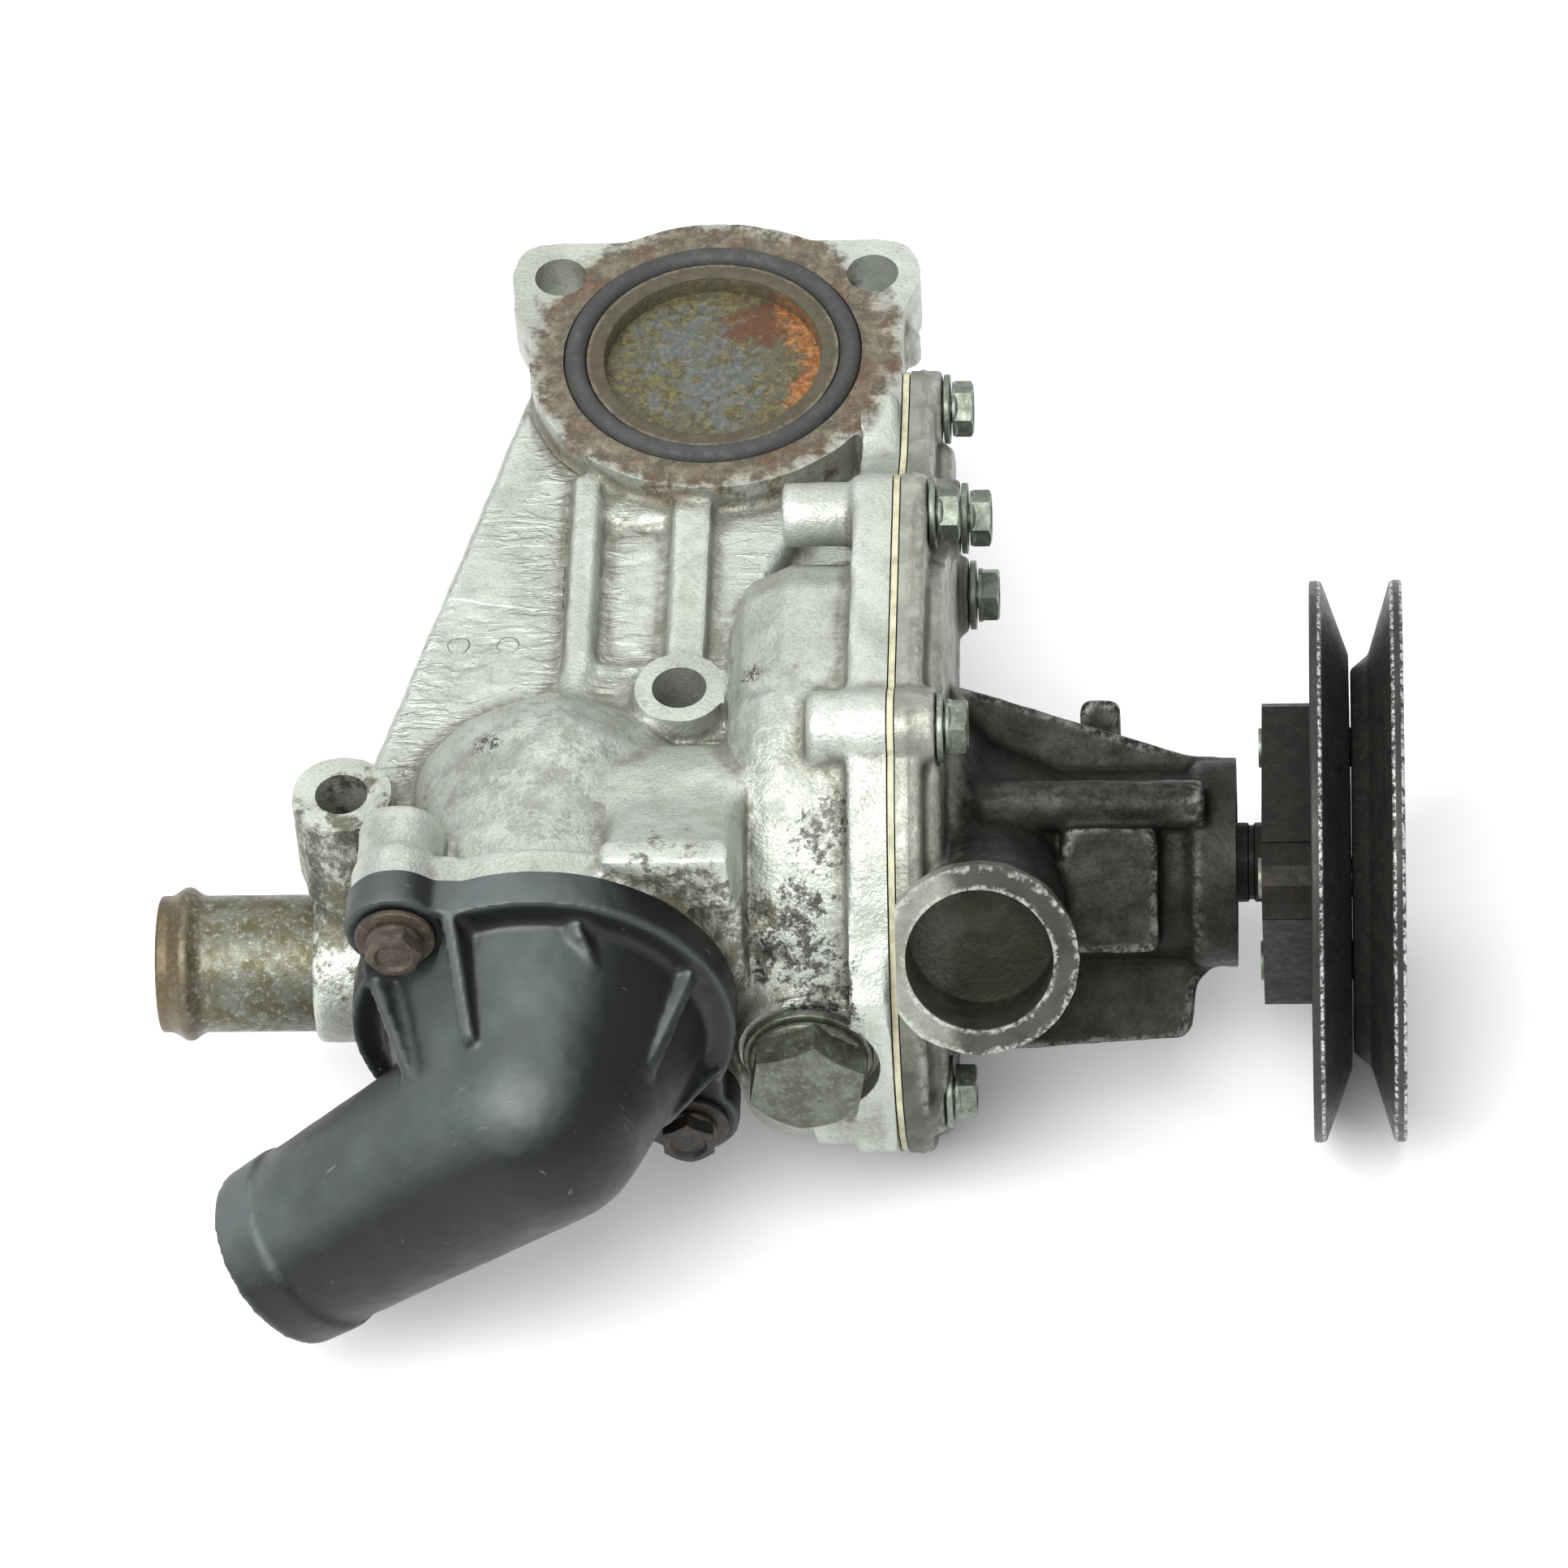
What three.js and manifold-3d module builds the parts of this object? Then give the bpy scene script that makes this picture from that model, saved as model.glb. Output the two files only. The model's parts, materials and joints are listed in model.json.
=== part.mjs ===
// Engine water pump with its thermostat housing, millimetres, +Z up.
//
// The origin is the centre of the round port that seals on the engine block, on the sealing face.
// +Z is the normal of that face, +X runs along the pump shaft to the pulley, and -Y is the front,
// where the thermostat cover and the drain plug are.

import * as THREE from 'three';
import { mergeVertices } from 'three/addons/utils/BufferGeometryUtils.js';
import Module from 'manifold-3d';

const wasm = await Module();
wasm.setup();

// ---------------------------------------------------------------- driving dimensions

const GAP = 0.3; // between pieces that touch on the real pump

const AXIS_Y = -107.6; // pump shaft
const AXIS_Z = -38;

const PORT = { lip: 22.3, grooveIn: 25.4, grooveOut: 30.9, grooveDeep: 3.2, face: 38, floor: -4.2 };
const PLATE_BOTTOM = -14;
const EAR = { x: 32.5, y: 23, r: 10, bore: 5.35 };
const BOSS_C = { x: -3.4, y: -93, r: 9.3, bore: 5.5 };
const BOSS_D = { x: -69.6, y: -120.7, r: 10, bore: 5.25 };

const GASKET_X = 39.6; // side of the gasket that faces the housing
const GASKET_THICK = 1.2;
const HOUSING_X = GASKET_X - GAP;
const BODY_X = GASKET_X + GASKET_THICK + GAP;
const BODY_PLATE_X = 46.3;
const BODY_DECK_X = 50;

const VOLUTE_R = 54.5;
const VOLUTE_SWING = 4;
const VOLUTE_BACK_X = 6.8;
const CHAMBER_R = 42;
const CHAMBER_BACK_X = 14;

const THERMO = { x: -28.75, z: -22.3, chamber: 25, dome: 31.5, flange: 38 };
const THERMO_FACE = 155; // distance of the cover joint in front of the origin
const COVER_THICK = 8;
const COVER_FACE = THERMO_FACE + GAP + COVER_THICK;
const COVER_EARS = [{ x: -55.9, z: 6.5 }, { x: -1.6, z: -51.1 }];
const COVER_EAR_R = 10;

const ELBOW_CORNER = new THREE.Vector3(-29.3, -186.6, -20);
const ELBOW_END = new THREE.Vector3(-83.1, -187, -63.5);
const ELBOW_ROOT_R = 33;
const ELBOW_R = 22.8;
const OUTLET = { root: 22.4, tube: 18.3, bead: 19.8, beadLong: 10, bore: 15.5 };

const NECK = { y: -126.5, z: -19, r: 26, left: -28 }; // fills the space between dome and volute
const SHELF = { left: -16, right: 9.5, back: 147.5, bottom: 2, top: 16.5 }; // ties seat and volute
const STUB = { y: -132, z: -38, r: 13.75, bore: 11.3, left: -108.2, right: -62 };
const PLUG = { x: 22.5, z: AXIS_Z, boss: 13.9, bossFace: 156, shank: 9, acrossFlats: 21.5 };

const BEARING = { tube: 19, collar: 21, sleeve: 15, left: 62, right: 100, end: 107.5 };
const RETURN_PIPE = { x: 57.5, tilt: 30, neck: 16.2, lip: 19.6, bore: 14.6, reach: 58.5, deep: 17 };

const SHAFT_R = 8;
const HUB = { left: 112.7, right: 127, lobe: 9, circle: 25, bore: SHAFT_R + GAP };
const PULLEY_R = 56.5;
const PULLEY_LEFT = 122.5;
const PULLEY_RIGHT = 141.1;

// Screws of the pump flange: place on the flange, height of the seat, end of the shank.
const PUMP_BOLTS = [
  { y: -58.1, z: 13, seat: BODY_PLATE_X, tip: 26 },
  { y: -116.1, z: 13, seat: 49, tip: 27 },
  { y: -150.8, z: -57.5, seat: 49, tip: 27 },
  { y: -9.3, z: -7.5, seat: 47.5, tip: 31.6 },
  { y: -29.6, z: -42, seat: 52, tip: 27 },
  { y: -85, z: -84, seat: 49, tip: 27 },
  { y: -45.5, z: -2, seat: 52, tip: 31.6 },
];
const BOLT = { shank: 2.9, hole: 3.2, flats: 10, head: 4.4, collar: 5.6, washer: 7.2, washerThick: 1.3 };

// ---------------------------------------------------------------- solids

const X = new THREE.Vector3(1, 0, 0);
const Y = new THREE.Vector3(0, 1, 0);
const Z = new THREE.Vector3(0, 0, 1);
const FRONT = new THREE.Vector3(0, -1, 0);

// Pieces are drawn in a local XY plane and grow along local Z. Each frame below says where those
// three directions point: 'x' draws in (y, z), 'front' draws in (x, z) and grows towards -Y.
const FRAMES = {
  x: new THREE.Matrix4().makeBasis(Y, Z, X),
  front: new THREE.Matrix4().makeBasis(X, Z, FRONT),
  z: new THREE.Matrix4(),
};

function toSolid(geometry) {
  const bare = geometry.clone();
  bare.deleteAttribute('normal');
  bare.deleteAttribute('uv');
  const merged = mergeVertices(bare, 1e-4);
  const triangles = wholeTriangles(merged.index.array);
  if (signedVolume(merged.attributes.position, triangles) < 0) triangles.reverse();
  const mesh = new wasm.Mesh({
    numProp: 3,
    vertProperties: Float32Array.from(merged.attributes.position.array),
    triVerts: Uint32Array.from(triangles),
  });
  return new wasm.Manifold(mesh);
}

function signedVolume(position, triangles) {
  const [a, b, c] = [new THREE.Vector3(), new THREE.Vector3(), new THREE.Vector3()];
  let volume = 0;
  for (let i = 0; i < triangles.length; i += 3) {
    a.fromBufferAttribute(position, triangles[i]);
    b.fromBufferAttribute(position, triangles[i + 1]);
    c.fromBufferAttribute(position, triangles[i + 2]);
    volume += a.dot(b.cross(c)) / 6;
  }
  return volume;
}

// Corners closer than this after the joins and cuts become one corner.
const WELD = 0.02;

function wholeTriangles(index) {
  const triangles = [];
  for (let i = 0; i < index.length; i += 3) {
    const [a, b, c] = [index[i], index[i + 1], index[i + 2]];
    if (a !== b && b !== c && c !== a) triangles.push(a, b, c);
  }
  return triangles;
}

function toGeometry(solid) {
  const { vertProperties, triVerts } = solid.getMesh();
  const raw = new THREE.BufferGeometry();
  raw.setAttribute('position', new THREE.BufferAttribute(vertProperties, 3));
  raw.setIndex(new THREE.BufferAttribute(triVerts, 1));
  const geometry = mergeVertices(raw, WELD);
  geometry.setIndex(wholeTriangles(geometry.index.array));
  geometry.computeVertexNormals();
  return geometry;
}

function join(solids) {
  return solids.reduce((whole, next) => whole.add(next));
}

function cut(whole, solids) {
  return solids.reduce((rest, next) => rest.subtract(next), whole);
}

// Sides of the polygon that stands for a circle.
function sidesFor(radius) {
  if (radius > 35) return 36;
  if (radius > 12.5) return 24;
  return radius > 6 ? 14 : 8;
}

// A flat outline grown along one of the frames, with an optional rounded or chamfered edge.
function prism(frame, shape, from, to, edge = 0, steps = 1) {
  const geometry = new THREE.ExtrudeGeometry(shape, {
    depth: to - from - 2 * edge,
    bevelEnabled: edge > 0,
    bevelThickness: edge,
    bevelSize: edge,
    bevelOffset: -edge,
    bevelSegments: steps,
    curveSegments: 4,
  });
  geometry.translate(0, 0, from + edge);
  geometry.applyMatrix4(FRAMES[frame]);
  return toSolid(geometry);
}

// A round bar along one of the frames.
function bar(frame, centre, radius, from, to, sides = sidesFor(radius)) {
  const geometry = new THREE.CylinderGeometry(radius, radius, to - from, sides);
  geometry.rotateX(Math.PI / 2);
  geometry.translate(centre[0], centre[1], (from + to) / 2);
  geometry.applyMatrix4(FRAMES[frame]);
  return toSolid(geometry);
}

// A turned piece: [radius, height] points about an axis along one of the frames.
function turned(frame, centre, profile, sides = 32) {
  const points = profile.map(([radius, height]) => new THREE.Vector2(radius, height));
  const geometry = new THREE.LatheGeometry(points, sides);
  geometry.rotateX(Math.PI / 2);
  geometry.translate(centre[0], centre[1], 0);
  geometry.applyMatrix4(FRAMES[frame]);
  return toSolid(geometry);
}

function ring(frame, centre, inner, outer, from, to, sides = sidesFor(outer)) {
  const profile = [[inner, from], [outer, from], [outer, to], [inner, to], [inner, from]];
  return turned(frame, centre, profile, sides);
}

function block(low, high) {
  const geometry = new THREE.BoxGeometry(high[0] - low[0], high[1] - low[1], high[2] - low[2]);
  geometry.translate((low[0] + high[0]) / 2, (low[1] + high[1]) / 2, (low[2] + high[2]) / 2);
  return toSolid(geometry);
}

// A round bar between two points in space.
function strut(start, end, radius, endRadius = radius, sides = sidesFor(radius)) {
  const along = end.clone().sub(start);
  const geometry = new THREE.CylinderGeometry(endRadius, radius, along.length(), sides);
  const turn = new THREE.Quaternion().setFromUnitVectors(Y, along.clone().normalize());
  geometry.applyQuaternion(turn);
  const middle = start.clone().add(end).multiplyScalar(0.5);
  geometry.translate(middle.x, middle.y, middle.z);
  return toSolid(geometry);
}

function ball(centre, radius) {
  const geometry = new THREE.SphereGeometry(radius, 20, 10);
  geometry.translate(centre.x, centre.y, centre.z);
  return toSolid(geometry);
}

// A closed outline through [x, y, corner radius] points.
function outline(corners) {
  const shape = new THREE.Shape();
  const count = corners.length;
  const toward = (from, to, distance) => {
    const step = new THREE.Vector2(to[0] - from[0], to[1] - from[1]).setLength(distance);
    return [from[0] + step.x, from[1] + step.y];
  };
  corners.forEach((corner, i) => {
    const [x, y, radius = 0] = corner;
    const before = toward(corner, corners[(i + count - 1) % count], radius);
    const after = toward(corner, corners[(i + 1) % count], radius);
    if (i === 0) shape.moveTo(...before);
    else shape.lineTo(...before);
    if (radius > 0) shape.quadraticCurveTo(x, y, ...after);
  });
  shape.closePath();
  return shape;
}

function hexagon(acrossFlats, centre = [0, 0], turn = 0) {
  const radius = acrossFlats / Math.sqrt(3);
  const corners = Array.from({ length: 6 }, (_, i) => {
    const angle = turn + (i * Math.PI) / 3;
    return [centre[0] + radius * Math.cos(angle), centre[1] + radius * Math.sin(angle)];
  });
  return new THREE.Shape(corners.map(([x, y]) => new THREE.Vector2(x, y)));
}

// ---------------------------------------------------------------- shared outlines

// The pump end is a little oval: its radius swings with the angle round the shaft.
function pumpArc(extra, fromDegrees, toDegrees) {
  const count = 18;
  return Array.from({ length: count + 1 }, (_, i) => {
    const angle = ((fromDegrees + ((toDegrees - fromDegrees) * i) / count) * Math.PI) / 180;
    const radius = VOLUTE_R + VOLUTE_SWING * Math.cos(2 * (angle - Math.PI / 3)) + extra;
    return new THREE.Vector2(AXIS_Y + radius * Math.cos(angle), AXIS_Z + radius * Math.sin(angle));
  });
}

// The joint between housing and pump body, in (y, z): a round pump end and a tail towards the port.
function pumpOutline(shrink = 0) {
  const tailBack = -1.8 - shrink;
  const shape = new THREE.Shape(pumpArc(-shrink, 90, 300));
  shape.lineTo(-36, -56 + shrink);
  shape.quadraticCurveTo(-22, -54 + shrink, -21 - shrink, -40);
  shape.lineTo(tailBack, -13);
  shape.quadraticCurveTo(tailBack, -0.5 - shrink, -9, -0.5 - shrink);
  shape.lineTo(-30, 1 - shrink);
  shape.quadraticCurveTo(-45, 6 - shrink, -50.5, 15 - shrink);
  shape.quadraticCurveTo(-52, 20.8 - shrink, -58, 20.8 - shrink);
  shape.closePath();
  return shape;
}

// The same joint without its screw lugs: what shows of the hollow castings on either side.
function voluteOutline() {
  const shape = new THREE.Shape(pumpArc(-3.5, 80, 300));
  shape.lineTo(-58, -62);
  shape.quadraticCurveTo(-50, -50, -53, -20);
  shape.quadraticCurveTo(-62, 12, -80, 15.6);
  shape.closePath();
  return shape;
}

// A plate of the joint's shape with its screw lugs.
function pumpFlange(from, to, shrink = 0) {
  const lugs = PUMP_BOLTS.map((bolt) => bar('x', [bolt.y, bolt.z], 8 - shrink, from, to));
  return join([prism('x', pumpOutline(shrink), from, to), ...lugs]);
}

function coverOutline(radius, earRadius) {
  const { x, z } = THERMO;
  const parts = [bar('front', [x, z], radius, 0, 1)];
  for (const ear of COVER_EARS) {
    const out = new THREE.Vector2(ear.x - x, ear.z - z).normalize();
    const side = new THREE.Vector2(-out.y, out.x);
    const web = [[1, 0.86], [-1, 0.86], [-1, 0], [1, 0]].map(([sign, reach]) => {
      const width = reach ? earRadius : radius * 0.8;
      const along = reach ? 1 : 0.45;
      const px = x + (ear.x - x) * along + side.x * width * sign;
      const pz = z + (ear.z - z) * along + side.y * width * sign;
      return new THREE.Vector2(px, pz);
    });
    parts.push(bar('front', [ear.x, ear.z], earRadius, 0, 1));
    parts.push(prism('front', new THREE.Shape(web), 0, 1));
  }
  return join(parts);
}

// The cover's outline as a plate between two distances in front of the origin.
function coverPlate(radius, earRadius, from, to) {
  const plate = coverOutline(radius, earRadius);
  return plate.scale([1, to - from, 1]).translate([0, -from, 0]);
}

// ---------------------------------------------------------------- housing

function portPlate() {
  const right = HOUSING_X;
  const plate = outline([
    [-42.3, 33, 8], [-42, 14], [-37.5, 4], [-37, -8], [0, -20], [right, -20.5],
    [right, 12], [right + 2.6, 19], [right + 2.6, 33, 8],
  ]);
  const parts = [
    prism('z', plate, PLATE_BOTTOM, 0, 0.8),
    bar('z', [0, 0], PORT.face, PLATE_BOTTOM, 0),
    bar('z', [0, 0], 30, -34, -8),
  ];
  for (const side of [-1, 1]) parts.push(bar('z', [side * EAR.x, EAR.y], EAR.r, -16, 0));
  parts.push(bar('z', [39.5, 11], 3.2, -14, -6));
  return join(parts);
}

function webPlate() {
  const web = outline([
    [-36, -4], [-39, -6], [-66.5, -112, 5], [-66, -126], [8, -126], [12, -60], [30, -14],
  ]);
  const ribs = [[-27.3, -22, -30, -96], [-6.5, 0.9, -30, -84]];
  const parts = [prism('z', web, -17, -6.5, 1)];
  for (const [left, right, back, front] of ribs) {
    parts.push(block([left, front, -10], [right, back, -3.5]));
  }
  parts.push(block([-22, -96, -10], [-6.5, -30, -5.6]));
  return join(parts);
}

// The raised web carries a shallow pocket between its two ribs.
function webPocket() {
  return block([-21.4, -81, -7.6], [-7.2, -41, -1]);
}

function dome() {
  const { x, z, dome: radius } = THERMO;
  const [roundFrom, roundLong] = [115, 28];
  const profile = [[0, THERMO_FACE - 1], [radius, THERMO_FACE - 1]];
  const steps = 6;
  for (let i = 0; i <= steps; i += 1) {
    const angle = (i / steps) * (Math.PI / 2);
    const r = i === steps ? 0 : radius * Math.cos(angle);
    profile.push([r, roundFrom - roundLong * Math.sin(angle)]);
  }
  return turned('front', [x, z], profile, 36);
}

function thermostatSeat() {
  const parts = [
    coverPlate(THERMO.flange - 0.7, COVER_EAR_R - 0.6, THERMO_FACE - 7, THERMO_FACE),
    bar('front', [COVER_EARS[0].x, COVER_EARS[0].z], 8.6, 136, THERMO_FACE - 1),
    bar('front', [COVER_EARS[1].x, COVER_EARS[1].z], 8.6, 136, THERMO_FACE - 1),
    // A thin square shelf, and a set-back wall below it.
    block([SHELF.left, -(THERMO_FACE - 1), SHELF.bottom], [SHELF.right, -SHELF.back, SHELF.top]),
    block([-6, -(THERMO_FACE - 6), -36], [SHELF.right, -138, 8]),
  ];
  return join(parts);
}

function volute() {
  const bulge = prism('x', voluteOutline(), VOLUTE_BACK_X, HOUSING_X + 14, 12, 2);
  const bulgeEnd = block([HOUSING_X, -200, -140], [HOUSING_X + 20, 20, 60]);
  const parts = [
    cut(bulge, [bulgeEnd]),
    pumpFlange(31.5, HOUSING_X),
    block([12, -62, -36], [HOUSING_X, -8, -13]),
  ];
  const bosses = [
    { ...PUMP_BOLTS[0], r: 6.6, from: 17 },
    { ...PUMP_BOLTS[1], r: 7.6, from: 23.5 },
    { ...PUMP_BOLTS[2], r: 7.5, from: 23 },
    { ...PUMP_BOLTS[4], r: 7, from: 24 },
    { ...PUMP_BOLTS[5], r: 7.5, from: 23 },
  ];
  for (const boss of bosses) {
    parts.push(bar('x', [boss.y, boss.z], boss.r, boss.from, HOUSING_X));
  }
  return join(parts);
}

// A slope from the neck up to the shelf.
function shelfRamp() {
  const front = -(SHELF.back + 1);
  const slope = outline([
    [front, SHELF.top - 0.5], [front, NECK.z], [NECK.y, NECK.z], [NECK.y, NECK.z + NECK.r - 0.5],
  ]);
  return prism('x', slope, SHELF.left + 1, SHELF.right);
}

function inletNeck() {
  return join([
    shelfRamp(),
    bar('x', [AXIS_Y, AXIS_Z], 24, NECK.left, VOLUTE_BACK_X + 10),
    bar('x', [NECK.y, NECK.z], NECK.r, NECK.left, VOLUTE_BACK_X + 4),
    block([-12, -147, -52], [14, -104, -12]),
  ]);
}

function stubSocket() {
  const { y, z } = STUB;
  const collar = bar('x', [y, z], 16, -76.5, -40);
  const legs = strut(new THREE.Vector3(BOSS_D.x, BOSS_D.y, -1), new THREE.Vector3(-66, -130, -36), 9.4, 11);
  const shoulder = block([-66, -140, -44], [-40, -112, -14]);
  return join([collar, legs, shoulder]);
}

function housingHollows() {
  const hollows = [
    bar('z', [0, 0], PORT.lip, PORT.floor, 5),
    ring('z', [0, 0], PORT.grooveIn, PORT.grooveOut, -PORT.grooveDeep, 5),
    // Water way from the pump chamber, under the port's floor, to a slot at the port's front edge.
    block([16, -76, -31], [34, -12, -18]),
    block([-8, -20.6, -31], [22, -12.5, -18]),
    block([-8, -20.6, -31], [8, -18.6, PORT.floor + 1]),
    bar('x', [AXIS_Y, AXIS_Z], CHAMBER_R, CHAMBER_BACK_X, HOUSING_X + 1),
    bar('x', [AXIS_Y, AXIS_Z], 15, THERMO.x, CHAMBER_BACK_X + 1),
    bar('front', [THERMO.x, THERMO.z], THERMO.chamber, 104, THERMO_FACE + 1),
    bar('front', [THERMO.x, THERMO.z], 31.2, THERMO_FACE - 3.3, THERMO_FACE + 1),
    bar('x', [STUB.y, STUB.z], STUB.bore, -80, THERMO.x),
    bar('x', [STUB.y, STUB.z], STUB.r + GAP, -80, STUB.right + GAP),
    bar('front', [PLUG.x, PLUG.z], PLUG.shank + GAP, 120, PLUG.bossFace + 1),
    bar('front', [PLUG.x, PLUG.z], PLUG.boss + 0.5, PLUG.bossFace, 180),
    bar('z', [BOSS_C.x, BOSS_C.y], BOSS_C.bore, -25, 5, 16),
    bar('z', [BOSS_D.x, BOSS_D.y], BOSS_D.bore, -21.5, 5, 16),
  ];
  for (const side of [-1, 1]) hollows.push(bar('z', [side * EAR.x, EAR.y], EAR.bore, -20, 5, 16));
  for (const bolt of PUMP_BOLTS) {
    hollows.push(bar('x', [bolt.y, bolt.z], BOLT.hole, bolt.tip - 0.6, HOUSING_X + 1));
  }
  for (const ear of COVER_EARS) {
    hollows.push(bar('front', [ear.x, ear.z], BOLT.hole, 139, THERMO_FACE + 1));
  }
  return hollows;
}

function housing() {
  const casting = join([
    portPlate(),
    webPlate(),
    dome(),
    thermostatSeat(),
    volute(),
    inletNeck(),
    stubSocket(),
    bar('front', [PLUG.x, PLUG.z], PLUG.boss, 110, PLUG.bossFace),
    bar('z', [BOSS_C.x, BOSS_C.y], BOSS_C.r, -20, 0),
    bar('z', [BOSS_D.x, BOSS_D.y], BOSS_D.r, -22, 0),
  ]);
  return cut(cut(casting, [webPocket()]), housingHollows());
}

function portSeal() {
  const middle = (PORT.grooveIn + PORT.grooveOut) / 2;
  const section = (PORT.grooveOut - PORT.grooveIn) / 2 - GAP;
  const geometry = new THREE.TorusGeometry(middle, section, 6, 36);
  geometry.translate(0, 0, section - PORT.grooveDeep + GAP);
  return toSolid(geometry);
}

function heaterStub() {
  const { y, z, r, bore, left, right } = STUB;
  const bead = r + 1.7;
  return turned('x', [y, z], [
    [bore, left], [r, left], [r, left + 3], [bead, left + 5], [bead, left + 6.5],
    [r, left + 8.2], [r, right], [bore, right], [bore, left],
  ], 24);
}

function drainPlug() {
  const { x, z, shank, acrossFlats, bossFace } = PLUG;
  const seat = bossFace + 2 + 2 * GAP;
  return join([
    prism('front', hexagon(acrossFlats, [x, z], 0.16), seat + 0.8, seat + 8.6, 0.6),
    bar('front', [x, z], acrossFlats / 2 + 0.6, seat, seat + 1.4),
    bar('front', [x, z], shank, bossFace - 5.7, seat + 1),
  ]);
}

function drainPlugSeal() {
  const { x, z, shank, bossFace } = PLUG;
  return ring('front', [x, z], shank + GAP, 13, bossFace + GAP, bossFace + GAP + 2);
}

// ---------------------------------------------------------------- thermostat

const VALVE = { seat: 17, disc: 18.4, capsule: 6.4, back: 150.2 };
const SPRING = { r: 11.8, wire: 1.1, from: 149.8, to: 119.4, turns: 5 };

function thermostatSealRing() {
  const { x, z } = THERMO;
  return ring('front', [x, z], 27.4, 30.9, THERMO_FACE - 3, THERMO_FACE - 0.1);
}

// Flange with the valve seat, two legs and a bridge behind, and a low arch with the piston in front.
function thermostatFrame() {
  const { x, z } = THERMO;
  const legs = [-1, 1].map((side) =>
    block([x + side * 20.6 - 1.1, -152.6, z - 4], [x + side * 20.6 + 1.1, -116, z + 4]));
  const arch = [-1, 1].map((side) =>
    strut(new THREE.Vector3(x + side * 19, -153, z), new THREE.Vector3(x, -165, z), 1.6, 1.6));
  const frame = join([
    ring('front', [x, z], VALVE.seat, 27, THERMO_FACE - 3, THERMO_FACE - 1.4),
    ...legs,
    block([x - 21.7, -118, z - 4], [x + 21.7, -116, z + 4]),
    bar('front', [x, z], 14, 116, 118),
    ...arch,
    bar('front', [x, z], 3, 160, 166),
    bar('front', [x, z], 1.9, 140, 161),
  ]);
  const capsuleHole = bar('front', [x, z], VALVE.capsule + 0.5, 110, 119);
  return frame.subtract(capsuleHole);
}

function thermostatValve() {
  const { x, z } = THERMO;
  const { disc, capsule, back } = VALVE;
  const body = join([
    bar('front', [x, z], disc, back, back + 1.5),
    bar('front', [x, z], capsule, 114, back + 3),
  ]);
  return body.subtract(bar('front', [x, z], 2.4, 136, 160));
}

class HelixCurve extends THREE.Curve {
  getPoint(t, target = new THREE.Vector3()) {
    const angle = t * SPRING.turns * Math.PI * 2;
    const front = SPRING.from - SPRING.wire + t * (SPRING.to - SPRING.from + 2 * SPRING.wire);
    const px = THERMO.x + SPRING.r * Math.cos(angle);
    return target.set(px, -front, THERMO.z + SPRING.r * Math.sin(angle));
  }
}

function thermostatSpring() {
  const wire = new THREE.Shape();
  wire.absarc(0, 0, SPRING.wire, 0, Math.PI * 2, false);
  const geometry = new THREE.ExtrudeGeometry(wire, {
    extrudePath: new HelixCurve(), steps: 60, curveSegments: 2, bevelEnabled: false,
  });
  return toSolid(geometry);
}

// ---------------------------------------------------------------- thermostat cover

// A thin gusset between the cover's face and its elbow, at an angle round the elbow. It starts at
// one radius on the face and ends at another, at its full height.
function coverGusset(angleDegrees, reach, height, endReach) {
  const shape = outline([
    [17, 0], [reach, 0, 1], [reach - 1.5, 3, 2], [endReach, height, 2], [17, height],
  ]);
  const geometry = new THREE.ExtrudeGeometry(shape, { depth: 3, bevelEnabled: false, curveSegments: 4 });
  geometry.translate(0, 0, -1.5);
  geometry.applyMatrix4(new THREE.Matrix4().makeBasis(X, FRONT, Z.clone().negate()));
  geometry.rotateY((-angleDegrees * Math.PI) / 180);
  geometry.translate(THERMO.x, -(COVER_FACE - 1), THERMO.z);
  return toSolid(geometry);
}

// A rib from the cover's top edge across to the ridge of the right-hand gusset.
function crossRib() {
  const thick = 2.8;
  const start = new THREE.Vector2(THERMO.x + 9, THERMO.z + 33);
  const end = new THREE.Vector2(THERMO.x + 22.5, THERMO.z + 11);
  const long = start.distanceTo(end);
  const side = outline([[0, 0], [long, 0], [long, 20.5, 1], [long - 3, 20.5, 2], [0, 3, 2]]);
  const geometry = new THREE.ExtrudeGeometry(side, { depth: thick, bevelEnabled: false, curveSegments: 4 });
  const along = new THREE.Vector3(end.x - start.x, 0, end.y - start.y).normalize();
  const across = new THREE.Vector3().crossVectors(along, FRONT);
  geometry.applyMatrix4(new THREE.Matrix4().makeBasis(along, FRONT, across));
  geometry.translate(start.x, -(COVER_FACE - 1), start.y);
  return toSolid(geometry);
}

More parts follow.
